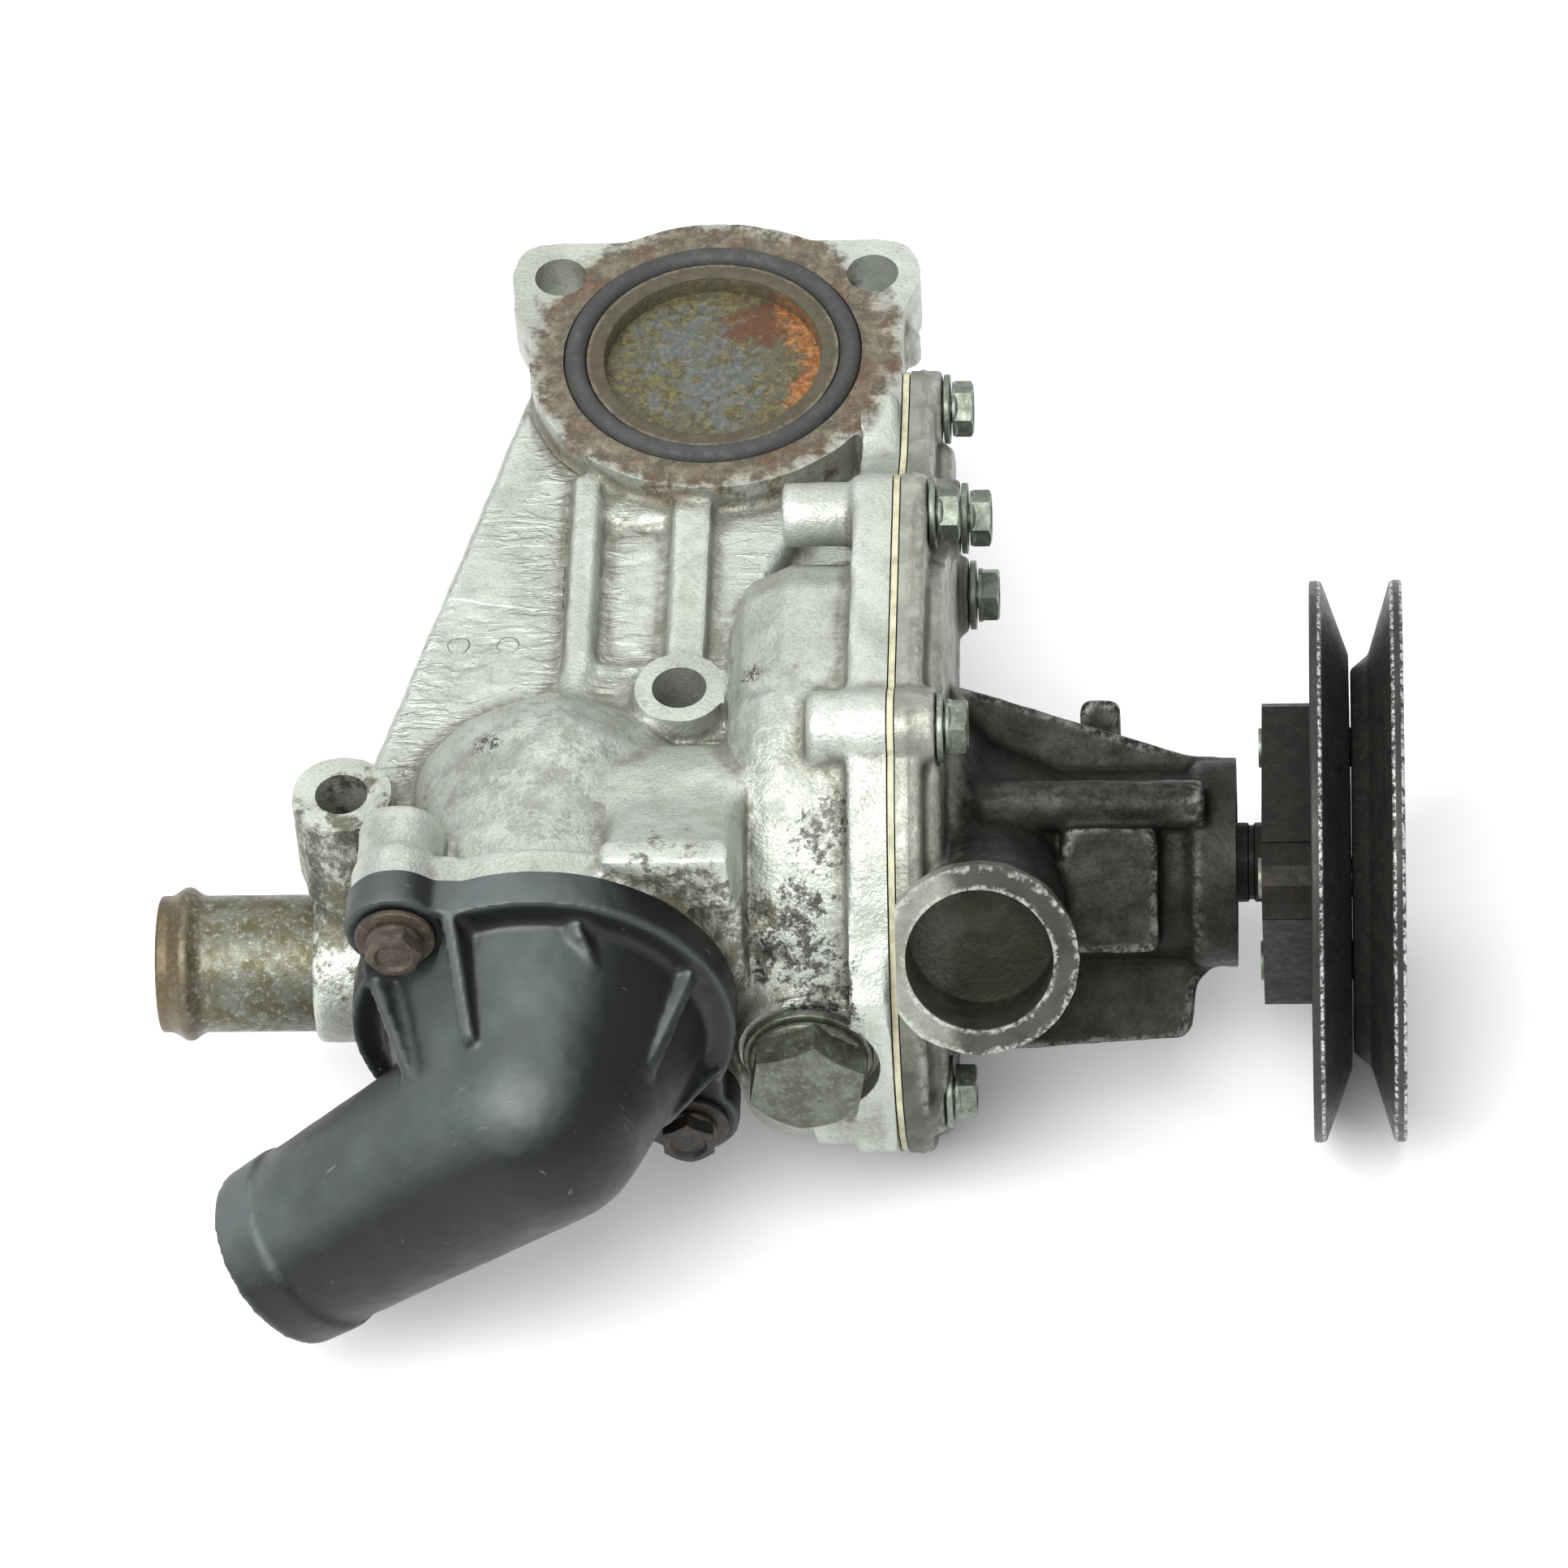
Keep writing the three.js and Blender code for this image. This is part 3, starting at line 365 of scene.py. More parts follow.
def waves(points, length, seed, stretch=(1, 1, 1), count=28):
    """A smooth random field of about unit size whose bumps are about one wavelength long."""
    random = np.random.default_rng(seed)
    directions = random.normal(size=(count, 3))
    directions /= np.linalg.norm(directions, axis=1)[:, None]
    directions /= length * random.uniform(0.7, 1.7, count)[:, None]
    phases = random.uniform(0, 2 * math.pi, count)
    inside = (points / np.array(stretch)) @ directions.T * 2 * math.pi + phases
    return np.sin(inside).sum(axis=1) / math.sqrt(count / 2)


def between_limits(values, low, high, fade):
    """1 well inside the limits, 0 outside, with a fade at both."""
    rise = np.clip((values - low) / fade, 0, 1)
    fall = np.clip((high - values) / fade, 0, 1)
    return np.minimum(rise, fall)


def soften(points, ends, centre, reach, rounds=40):
    """Relaxes the points near a place, fading out at its edge."""
    distance = np.linalg.norm(points - np.array(centre), axis=1)
    share = np.clip((reach - distance) / (0.4 * reach), 0, 1)[:, None]
    return points + share * (relax(points, ends, rounds) - points)


def cast(name, shapes, voxel, rounds, seed, skin=0.06 * MM, ripple=None, soft=()):
    """Fuses shapes into one softened casting, with its hollows marked and an uneven skin."""
    piece = make(name, shapes)
    remesh(piece, voxel)
    mesh = piece.data
    ends = edge_ends(mesh)
    points = relax(get_points(mesh), ends, rounds)
    for centre, reach in soft:
        points = soften(points, ends, centre, reach)
    set_points(mesh, points)
    mark_hollows(mesh, ends)
    points, normals = get_points(mesh), get_normals(mesh)
    height = skin * (waves(points, 7 * MM, seed) + 0.5 * waves(points, 2.6 * MM, seed + 1))
    if ripple:
        height = height + ripple(points, normals)
    set_points(mesh, points + normals * height[:, None])
    return piece


def mark_hollows(mesh, ends):
    """Writes the attribute "hollow": above 0 in corners, below 0 on edges."""
    points, normals = get_points(mesh), get_normals(mesh)
    hollow = np.zeros(len(points))
    for rounds in (10, 40):
        shift = relax(points, ends, rounds) - points
        hollow += np.einsum("ij,ij->i", shift, normals) / (1.2 * MM)
    attribute = mesh.attributes.new("hollow", "FLOAT", "POINT")
    attribute.data.foreach_set("value", np.clip(hollow, -1, 1).astype(np.float32))


def keep_inside(piece, node):
    """Flattens what little of a piece stands out of its node's box."""
    low, high = (np.array(corner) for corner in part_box(node))
    set_points(piece.data, np.clip(get_points(piece.data), low, high))


def finish_piece(piece, node, look, degrees=35):
    """Puts a piece in the place of its CAD node."""
    smooth_shading(piece, degrees)
    piece.data.materials.clear()
    piece.data.materials.append(look)
    body = frame["nodes"][node]["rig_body"]
    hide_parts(node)
    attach(piece, body)


# ---------------------------------------------------------------- materials


class Look:
    """A procedural material. Each method adds one small group of nodes."""

    def __init__(self, name, metal, roughness):
        self.material = bpy.data.materials.new(name)
        self.material.use_nodes = True
        self.tree = self.material.node_tree
        self.shader = self.tree.nodes["Principled BSDF"]
        self.shader.inputs["Metallic"].default_value = metal
        self.shader.inputs["Roughness"].default_value = roughness
        self.place = self.add("ShaderNodeTexCoord").outputs["Object"]

    def add(self, kind, inputs=(), **settings):
        node = self.tree.nodes.new(kind)
        for key, value in settings.items():
            setattr(node, key, value)
        for key, value in dict(inputs).items():
            self.set(node.inputs[key], value)
        return node

    def set(self, socket, value):
        if isinstance(value, bpy.types.NodeSocket):
            self.tree.links.new(value, socket)
        elif isinstance(value, tuple) and socket.type == "RGBA":
            socket.default_value = (*value, 1)
        else:
            socket.default_value = value

    def noise(self, size, detail=4, rough=0.55, stretch=(1, 1, 1), distort=0.0):
        """Noise with grains of about size metres."""
        place = self.place
        if stretch != (1, 1, 1):
            place = self.vector("MULTIPLY", place, [1 / s for s in stretch])
        inputs = {"Vector": place, "Scale": 1 / size, "Detail": detail, "Roughness": rough}
        inputs["Distortion"] = distort
        return self.add("ShaderNodeTexNoise", inputs).outputs["Fac"]

    def limits(self, value, low, high, to_low=0.0, to_high=1.0):
        """Maps a value from low..high to 0..1, smoothly and clamped."""
        inputs = {"Value": value, "From Min": low, "From Max": high}
        inputs.update({"To Min": to_low, "To Max": to_high})
        node = self.add("ShaderNodeMapRange", inputs, interpolation_type="SMOOTHSTEP")
        return node.outputs["Result"]

    def math(self, operation, a, b=0.0):
        node = self.add("ShaderNodeMath", {0: a, 1: b}, operation=operation)
        node.use_clamp = operation in ("ADD", "SUBTRACT")
        return node.outputs[0]

    def vector(self, operation, a, b=(0, 0, 0), output="Vector"):
        node = self.add("ShaderNodeVectorMath", {0: a, 1: tuple(b)}, operation=operation)
        return node.outputs[output]

    def times(self, *values):
        result = values[0]
        for value in values[1:]:
            result = self.math("MULTIPLY", result, value)
        return result

    def mix(self, share, a, b):
        node = self.add("ShaderNodeMix", data_type="RGBA")
        self.set(node.inputs["Factor"], share)
        self.set(node.inputs["A"], a)
        self.set(node.inputs["B"], b)
        return node.outputs["Result"]

    def part(self, axis):
        """One coordinate of the place, in metres."""
        node = self.add("ShaderNodeSeparateXYZ", {0: self.place})
        return node.outputs[axis]

    def distance(self, point):
        """Distance from a point, in metres."""
        shift = self.vector("SUBTRACT", self.place, point)
        return self.vector("LENGTH", shift, output="Value")

    def from_axis(self, point, axis):
        """Distance from the line through a point along an axis, in metres."""
        shift = self.vector("SUBTRACT", self.place, point)
        across = self.vector("CROSS_PRODUCT", shift, axis)
        return self.vector("LENGTH", across, output="Value")

    def ahead_of(self, point, axis):
        """How far in front of a plane through a point, in metres."""
        shift = self.vector("SUBTRACT", self.place, point)
        return self.vector("DOT_PRODUCT", shift, axis, "Value")

    def uneven(self, value, size, reach):
        """A distance made uneven by noise, so that a limit on it gives a torn edge."""
        noise = self.limits(self.noise(size, 5, 0.7), 0.3, 0.7, -reach, reach)
        return self.add("ShaderNodeMath", {0: value, 1: noise}, operation="ADD").outputs[0]

    def most(self, *values):
        result = values[0]
        for value in values[1:]:
            result = self.math("MAXIMUM", result, value)
        return result

    def blob(self, point, radius, uneven):
        """A soft-edged patch round a point, torn by noise."""
        reach = self.uneven(self.distance(point), 0.35 * radius, uneven * radius)
        return self.limits(reach, radius, 0.55 * radius)

    def blobs(self, uneven, rows):
        """Several such patches. Each row is x, y, z and radius in millimetres."""
        return self.most(*(self.blob(Vector(row[:3]) * MM, row[3] * MM, uneven) for row in rows))

    def facing(self, direction, low, high):
        """1 where the surface faces a direction, fading to 0 as it turns away from it."""
        normal = self.add("ShaderNodeTexCoord").outputs["Normal"]
        dot = self.vector("DOT_PRODUCT", normal, Vector(direction).normalized(), "Value")
        return self.limits(dot, low, high)

    def hollow(self):
        return self.add("ShaderNodeAttribute", attribute_name="hollow").outputs["Fac"]

    def bump(self, height, distance, strength=1.0):
        """Adds relief of the given depth to what the shader already has."""
        before = self.shader.inputs["Normal"]
        inputs = {"Height": height, "Distance": distance, "Strength": strength}
        if before.is_linked:
            inputs["Normal"] = before.links[0].from_socket
        node = self.add("ShaderNodeBump", inputs)
        self.tree.links.new(node.outputs["Normal"], before)

    def colour(self, value):
        self.set(self.shader.inputs["Base Color"], value)

    def roughness(self, value):
        self.set(self.shader.inputs["Roughness"], value)

    def metal(self, value):
        self.set(self.shader.inputs["Metallic"], value)

    def gloss(self, value):
        """How much a surface that is not bare metal mirrors."""
        self.set(self.shader.inputs["Specular IOR Level"], value)


def oil_stains(look):
    """Black oily spots down the front of the volute, and two small ones higher up."""
    stains = look.blobs(0.9, (
        (26, -136, 1, 5), (28, -132, 5, 4), (22, -144, -8, 5.5), (20, -149, -16, 7), (28, -153, -25, 8),
        (-40.3, -113.5, 7, 2.4), (11.9, -100.7, 12.3, 2.2),
    ))
    torn = look.limits(look.noise(2.4 * MM, 6, 0.75), 0.4, 0.53)
    return look.times(stains, torn)


def port_scale(look):
    """The rusty floor of the port: blue-grey middle, olive and yellow scale, an orange streak."""
    def at(x, y):
        return (x * MM, y * MM, PORT_FLOOR_Z)

    fine = look.limits(look.noise(1.5 * MM, 6, 0.8), 0.42, 0.62)
    coarse = look.limits(look.noise(6 * MM, 6, 0.75, distort=0.6), 0.4, 0.62)
    colour = look.mix(fine, (0.052, 0.041, 0.016), (0.16, 0.13, 0.045))
    colour = look.mix(look.times(coarse, 0.7), colour, (0.07, 0.077, 0.06))
    blue = look.most(look.blob(at(-6, 8), 9 * MM, 0.9), look.blob(at(1, -5), 10 * MM, 0.9))
    blue = look.times(blue, look.limits(look.noise(5 * MM, 6, 0.75), 0.3, 0.46), 0.9)
    colour = look.mix(blue, colour, look.mix(fine, (0.075, 0.083, 0.08), (0.12, 0.132, 0.128)))
    deep = look.blob(at(10, 13), 8 * MM, 0.7)
    colour = look.mix(look.times(deep, 0.85), colour, (0.085, 0.028, 0.01))
    from_middle = look.uneven(look.from_axis((0, 0, 0), Z), 2.5 * MM, 1.6 * MM)
    to_right = look.limits(look.part(0), 11 * MM, 15 * MM)
    streak = look.times(look.limits(from_middle, 16.8 * MM, 18.6 * MM), to_right)
    streak = look.times(streak, look.limits(look.part(1), -13 * MM, -9 * MM))
    streak = look.times(streak, look.limits(look.noise(4 * MM, 5, 0.75), 0.34, 0.52))
    colour = look.mix(streak, colour, look.mix(fine, (0.16, 0.055, 0.015), (0.36, 0.16, 0.045)))
    yellow = look.limits(look.noise(1.2 * MM, 5, 0.8), 0.6, 0.68)
    yellow = look.times(yellow, look.limits(coarse, 0.2, 0.8), 0.8)
    return look.mix(yellow, colour, (0.34, 0.28, 0.1))


def bare_casting(look, dirt):
    """The housing's metal: cloudy, grained, smeared, darker low down and in its corners."""
    grain = look.limits(look.noise(0.8 * MM, 4, 0.75), 0.4, 0.6)
    clouds = look.limits(look.noise(26 * MM, 5, 0.6, distort=0.5), 0.38, 0.64)
    smudges = look.limits(look.noise(8 * MM, 6, 0.75), 0.48, 0.66)
    low = look.limits(look.uneven(look.part(2), 12 * MM, 6 * MM), -24 * MM, -56 * MM)
    colour = look.mix(clouds, (0.45, 0.475, 0.425), (0.33, 0.345, 0.3))
    colour = look.mix(look.times(smudges, 0.34), colour, (0.19, 0.19, 0.15))
    colour = look.mix(look.times(low, 0.45), colour, (0.1, 0.102, 0.08))
    colour = look.mix(look.times(grain, 0.3), colour, (0.52, 0.55, 0.5))
    smears = look.blobs(0.9, (
        (-38, -118, 6, 13), (-20, -108, 4, 11), (-26, -131, 9, 10), (20, -128, 8, 12), (16, -111, 14, 11),
    ))
    smears = look.times(smears, look.limits(look.noise(6 * MM, 5, 0.7), 0.35, 0.6, 0.3, 1), 0.5)
    colour = look.mix(smears, colour, (0.16, 0.168, 0.14))
    colour = look.mix(look.times(dirt, 0.62), colour, (0.1, 0.092, 0.052))
    colour = look.mix(look.limits(look.hollow(), -0.12, -0.8, 0, 0.35), colour, (0.58, 0.61, 0.57))
    pits = look.limits(look.noise(0.6 * MM, 3, 0.7), 0.6, 0.68)
    colour = look.mix(look.times(pits, 0.45), colour, (0.12, 0.12, 0.1))
    grime = look.blobs(0.7, (
        (-69, -130, -16, 19), (-50, -140, -8, 9), (-2, -155, 4, 12), (7, -149, -14, 12),
    ))
    grime = look.times(grime, look.limits(look.noise(3.5 * MM, 6, 0.75), 0.34, 0.54), 0.85)
    return look.mix(grime, colour, (0.075, 0.068, 0.038))


def port_rust(look):
    """The colour of the port's rusty face, and its darker land inside the seal."""
    patches = look.limits(look.noise(4 * MM, 6, 0.75), 0.4, 0.62)
    flecks = look.limits(look.noise(1.3 * MM, 6, 0.8), 0.54, 0.66)
    rust = look.mix(patches, (0.075, 0.062, 0.043), (0.16, 0.135, 0.09))
    rust = look.mix(look.times(flecks, 0.8), rust, (0.24, 0.24, 0.19))
    red = look.limits(look.noise(11 * MM, 4, 0.6), 0.5, 0.62)
    rust = look.mix(look.times(red, 0.45), rust, (0.1, 0.042, 0.017))
    radius = look.from_axis((0, 0, 0), Z)
    land = look.times(look.limits(radius, PORT_BORE_R + 3.4 * MM, PORT_BORE_R + 2.8 * MM), 0.75)
    return look.mix(land, rust, (0.05, 0.043, 0.023))


def web_relief(look):
    """Wrinkles, a step between two mould inserts, and two ejector marks on top of the web plate."""
    on_web = look.times(look.facing(Z, 0.8, 0.97), look.limits(look.part(2), -5 * MM, -6 * MM))
    wrinkles = look.limits(look.noise(2.6 * MM, 3, 0.6, stretch=(3.6, 1, 1), distort=0.5), 0.45, 0.6)
    patches = look.limits(look.noise(24 * MM, 3, 0.5), 0.38, 0.55)
    look.bump(look.times(wrinkles, on_web, patches), 0.32 * MM, 0.9)
    step = look.limits(look.ahead_of(CREASE, CREASE_FACING), -0.35 * MM, 0.35 * MM)
    beside = look.limits(look.part(0), CREASE.x + 16 * MM, CREASE.x + 13 * MM)
    look.bump(look.times(step, beside, on_web), 0.45 * MM)
    for mark in EJECTOR_MARKS:
        inside = look.limits(look.from_axis(mark, Z), 2.4 * MM, 2 * MM)
        look.bump(look.times(inside, on_web), 0.5 * MM)


def housing_look():
    look = Look("cast_aluminium", 0.7, 0.42)
    dirt = look.limits(look.hollow(), 0.04, 0.5)
    dirt = look.times(dirt, look.limits(look.noise(4 * MM, 6, 0.75), 0.3, 0.6, 0.35, 1))
    colour = bare_casting(look, dirt)
    stains = oil_stains(look)
    colour = look.mix(look.times(stains, 0.9), colour, (0.035, 0.036, 0.034))

    # Rust on the port's face, torn at its outer edge, and scale inside it.
    radius = look.from_axis((0, 0, 0), Z)
    high = look.limits(look.part(2), PORT_FLOOR_Z - 5 * MM, PORT_FLOOR_Z - 2 * MM)
    torn = look.uneven(radius, 8 * MM, 3.5 * MM)
    rusty = look.times(look.limits(torn, 41 * MM, 35.5 * MM), high)
    inside = look.times(look.limits(radius, PORT_BORE_R + 0.3 * MM, PORT_BORE_R - 0.3 * MM), high)
    colour = look.mix(rusty, colour, port_rust(look))
    look.colour(look.mix(inside, colour, port_scale(look)))

    corroded = look.most(rusty, inside)
    look.metal(look.limits(corroded, 0, 1, 0.72, 0.15))
    rough = look.limits(look.noise(5 * MM, 5, 0.6), 0.3, 0.7, 0.4, 0.54)
    rough = look.most(rough, look.times(corroded, 0.7), look.times(dirt, 0.65))
    look.roughness(look.mix(stains, rough, (0.25, 0.25, 0.25)))
    look.bump(look.noise(0.8 * MM, 4, 0.6), 0.24 * MM, 0.9)
    look.bump(look.noise(3.2 * MM, 4, 0.6), 0.28 * MM, 0.5)
    web_relief(look)
    return look.material


def body_look():
    look = Look("dark_cast_aluminium", 0.5, 0.45)
    clouds = look.limits(look.noise(15 * MM, 5, 0.65, distort=0.5), 0.38, 0.64)
    grain = look.limits(look.noise(0.9 * MM, 5, 0.75), 0.4, 0.64)
    hollow = look.hollow()
    colour = look.mix(clouds, (0.3, 0.315, 0.265), (0.2, 0.207, 0.17))
    colour = look.mix(look.times(grain, 0.3), colour, (0.12, 0.12, 0.095))

    # Away from the flange and low down the casting is dark with oil.
    snout = look.limits(look.uneven(look.part(0), 9 * MM, 2 * MM), 48 * MM, 55 * MM)
    low = look.limits(look.uneven(look.part(2), 12 * MM, 8 * MM), -14 * MM, -40 * MM)
    pipe_r = look.from_axis(PIPE_END, PIPE_AXIS)
    collar = look.limits(look.ahead_of(PIPE_END, PIPE_AXIS), -9 * MM, -5 * MM)
    collar = look.times(collar, look.limits(pipe_r, 22 * MM, 20.5 * MM))
    oily = look.times(look.most(snout, look.times(low, 0.75)), look.limits(collar, 0, 1, 1, 0.84), 0.96)
    dark = look.mix(clouds, (0.018, 0.019, 0.0155), (0.006, 0.0063, 0.0052))
    dark = look.mix(look.times(grain, 0.35), dark, (0.034, 0.035, 0.029))
    colour = look.mix(oily, colour, dark)
    colour = look.mix(look.limits(hollow, 0.06, 0.7, 0, 0.7), colour, (0.014, 0.0135, 0.011))
    torn = look.limits(look.noise(2.2 * MM, 5, 0.75), 0.42, 0.58)
    worn = look.times(look.limits(hollow, -0.2, -0.9), torn, look.limits(oily, 0, 1, 0.7, 0.35))
    colour = look.mix(worn, colour, (0.36, 0.375, 0.335))

    # Bright rubbed rims on the open pipe, and a brown-grey bore.
    face = look.limits(look.ahead_of(PIPE_END, PIPE_AXIS), -1.2 * MM, -0.4 * MM)
    inner_rim = look.limits(look.uneven(pipe_r, 3 * MM, 0.5 * MM), 15.6 * MM, 14.9 * MM)
    outer_rim = look.limits(look.uneven(pipe_r, 3 * MM, 0.8 * MM), 18.4 * MM, 19.2 * MM)
    rubbed = look.times(look.most(inner_rim, outer_rim), face, torn)
    colour = look.mix(look.times(rubbed, 0.65), colour, (0.5, 0.52, 0.47))
    bore = look.times(look.limits(pipe_r, 14.8 * MM, 14.5 * MM), look.limits(face, 1, 0))
    bore_colour = look.mix(clouds, (0.06, 0.06, 0.045), (0.036, 0.035, 0.026))
    colour = look.mix(look.times(bore, 0.9), colour, bore_colour)
    look.colour(colour)
    look.gloss(look.limits(oily, 0, 1, 0.5, 0.05))
    look.metal(look.limits(grain, 0, 1, 0.6, 0.45))
    look.roughness(look.limits(look.noise(4 * MM, 5, 0.65), 0.3, 0.7, 0.34, 0.54))
    look.bump(look.noise(0.9 * MM, 4, 0.65), 0.18 * MM, 0.8)
    look.bump(look.noise(3.6 * MM, 3, 0.6), 0.25 * MM, 0.4)
    return look.material


def plastic_look():
    look = Look("black_plastic", 0.0, 0.4)
    clouds = look.limits(look.noise(30 * MM, 5, 0.6), 0.34, 0.66, 0.55, 1)
    # dust here is a painted sheen: faces turned up and to the front-left, toward the key light, are painted
    # a lighter blue-grey in cloudy patches
    dust = look.times(look.facing((-0.3, -0.25, 0.92), 0.62, 1), clouds)
    hollow = look.hollow()
    colour = look.mix(dust, (0.005, 0.0062, 0.0062), (0.075, 0.092, 0.09))
    scratch = look.noise(0.5 * MM, 3, 0.6, stretch=(9, 2, 9), distort=0.4)
    patches = look.limits(look.noise(12 * MM, 3), 0.5, 0.62)
    scratch = look.times(look.limits(scratch, 0.67, 0.72), patches)
    colour = look.mix(look.times(scratch, 0.55), colour, (0.16, 0.165, 0.15))
    brown = look.limits(look.noise(2 * MM, 6, 0.8), 0.62, 0.72)
    brown = look.times(brown, look.limits(look.noise(17 * MM), 0.52, 0.62), 0.5)
    colour = look.mix(brown, colour, (0.1, 0.075, 0.05))
    colour = look.mix(look.limits(hollow, 0.08, 0.7, 0, 0.5), colour, (0.02, 0.018, 0.014))
    colour = look.mix(look.limits(hollow, -0.2, -0.9, 0, 0.4), colour, (0.07, 0.08, 0.082))
    look.colour(colour)
    # The painted sheen is also made glossier.
    look.gloss(look.limits(dust, 0, 1, 0.28, 0.42))
    look.roughness(look.limits(look.noise(9 * MM, 5, 0.6), 0.3, 0.7, 0.38, 0.5))
    look.bump(look.noise(0.45 * MM, 3, 0.5), 0.03 * MM, 0.6)
    look.bump(scratch, 0.04 * MM, 0.5)
    return look.material


def metal_look(name, colours, spots, metal=0.7, rough=(0.32, 0.55), depth=0.07 * MM, spotted=0.5):
    """A plain worn metal: two mottled colours, spots of a third, uneven gloss and a fine relief."""
    look = Look(name, metal, rough[0])
    clouds = look.limits(look.noise(5 * MM, 5, 0.7, distort=0.4), 0.38, 0.62)
    colour = look.mix(clouds, *colours)
    specks = look.limits(look.noise(1.2 * MM, 6, 0.75), 0.52, 0.66)
    colour = look.mix(look.times(specks, spotted), colour, spots)
    look.colour(colour)
    look.metal(look.limits(specks, 0, 1, metal, metal * 0.6))
    look.roughness(look.limits(look.noise(2.5 * MM, 5, 0.7), 0.3, 0.7, *rough))
    look.bump(look.noise(1.0 * MM, 4, 0.65), depth, 0.8)
    return look


def stub_look():
    look = metal_look(
        "passivated_steel", ((0.135, 0.138, 0.11), (0.085, 0.076, 0.036)), (0.3, 0.31, 0.27),
        metal=0.55, depth=0.18 * MM, spotted=0.7,
    )
    before = look.shader.inputs["Base Color"].links[0].from_socket
    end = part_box("heater_stub")[0].x
    reach = look.uneven(look.part(0), 5 * MM, 5 * MM)
    rust = look.limits(reach, end + 10 * MM, end + 3 * MM, 0, 0.75)
    look.colour(look.mix(rust, before, (0.1, 0.066, 0.03)))
    return look.material


def pulley_look():
    look = metal_look(
        "pulley_steel", ((0.034, 0.032, 0.028), (0.02, 0.0195, 0.018)), (0.06, 0.05, 0.04),
        metal=0.45, rough=(0.36, 0.55), depth=0.06 * MM, spotted=0.35,
    )
    look.gloss(0.3)
    before = look.shader.inputs["Base Color"].links[0].from_socket
    inner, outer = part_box("pulley_inner_half"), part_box("pulley_outer_half")
    rim = outer[1].z - SHAFT.z
    radius = look.from_axis(SHAFT, X)
    on_rim = look.limits(radius, rim - 1 * MM, rim - 0.3 * MM)
    grey = look.mix(look.times(on_rim, 0.8), before, (0.03, 0.0295, 0.027))
    edges = [inner[0].x + 2 * MM, outer[1].x - 2.2 * MM, outer[1].x - 0.3 * MM]
    distances = [look.math("ABSOLUTE", look.ahead_of((x, 0, 0), X)) for x in edges]
    lines = [look.limits(distance, 0.5 * MM, 0.15 * MM) for distance in distances]
    worn = look.times(look.most(*lines), on_rim, look.limits(look.noise(1.3 * MM, 6, 0.8), 0.46, 0.56))
    look.colour(look.mix(worn, grey, (0.5, 0.51, 0.49)))
    return look.material


def rubber_look():
    look = Look("rubber_seal", 0.0, 0.7)
    dust = look.limits(look.noise(4 * MM, 6, 0.75), 0.5, 0.7)
    look.colour(look.mix(look.times(dust, 0.5), (0.034, 0.035, 0.034), (0.08, 0.074, 0.062)))
    look.roughness(look.limits(look.noise(3 * MM, 4), 0.3, 0.7, 0.55, 0.85))
    look.bump(look.noise(0.7 * MM, 4, 0.6), 0.08 * MM, 0.6)
    return look.material


def gasket_look():
    look = Look("gasket_paper", 0.0, 0.85)
    oily = look.limits(look.noise(6 * MM, 5, 0.7), 0.45, 0.65)
    look.colour(look.mix(look.times(oily, 0.6), (0.5, 0.48, 0.34), (0.24, 0.22, 0.13)))
    look.bump(look.noise(0.6 * MM, 4, 0.7), 0.12 * MM, 0.8)
    return look.material


# ---------------------------------------------------------------- castings

VOLUTE_R = 54.5 * MM  # the round pump end, which is a little oval
VOLUTE_SWING = 4 * MM
VOLUTE_BACK_X = 6.8 * MM
EJECTOR_MARKS = [(-49.1 * MM, -75 * MM, 0), (-39.1 * MM, -75 * MM, 0)]  # on the web plate
CREASE = Vector((-41, -64, 0)) * MM  # the step between two mould inserts, across the web
CREASE_FACING = Vector((0.187, 0.982, 0))
NECK = ((-126.5 * MM, -19 * MM), 26 * MM)  # (y, z) and radius of the part between dome and volute
VOLUTE_EDGE = 12 * MM  # radius of the volute's outer edge
ARC = (90, 300)  # the round part of the pump end, in degrees about the shaft

SHELF_BACK = Vector((-3, -136, 12)) * MM  # where the slope from the neck meets the shelf
DOME_CROWN = Vector((-22, -98, 2)) * MM  # where the dome runs into the web
DOME_R = 31.5 * MM
DOME_BACK = 115 * MM  # where its round back starts, in front of the port
DOME_DEPTH = 28 * MM
SEAT_R = 37.3 * MM
COVER_R = 38 * MM
ELBOW_CORNER = Vector((-29.3, -186.6, -20)) * MM
ELBOW_R = 22.8 * MM
CHAMBER_R = 25 * MM
CHAMBER_BACK = 104 * MM
COVER_LUG_R = 9.4 * MM
EAR_R = 10 * MM
BOSS_R = {"middle": 9.3 * MM, "front": 10 * MM}
BLOCK_HOLE_R = 5.35 * MM
STUB_BOSS_R = 16 * MM
PLUG_BOSS_R = 13.9 * MM
PLUG_HOLE_R = 9.3 * MM
PIPE_R = 16.2 * MM
COLLAR_R = 19.6 * MM
PORT_BORE_R = 22.3 * MM
PORT_FLOOR_Z = opening_box("block_port")[0].z - GAP
SCREW_HOLE_R = 3.2 * MM
LUG_R = 8 * MM


def stretched_gasket(start, stop):
    """The gasket's outline as a plate between two places along the shaft."""
    points, faces = cad_shape("pump_gasket")
    low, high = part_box("pump_gasket")
    share = (points[:, 0] - low.x) / (high.x - low.x)
    points[:, 0] = start + share * (stop - start)
    return points, faces


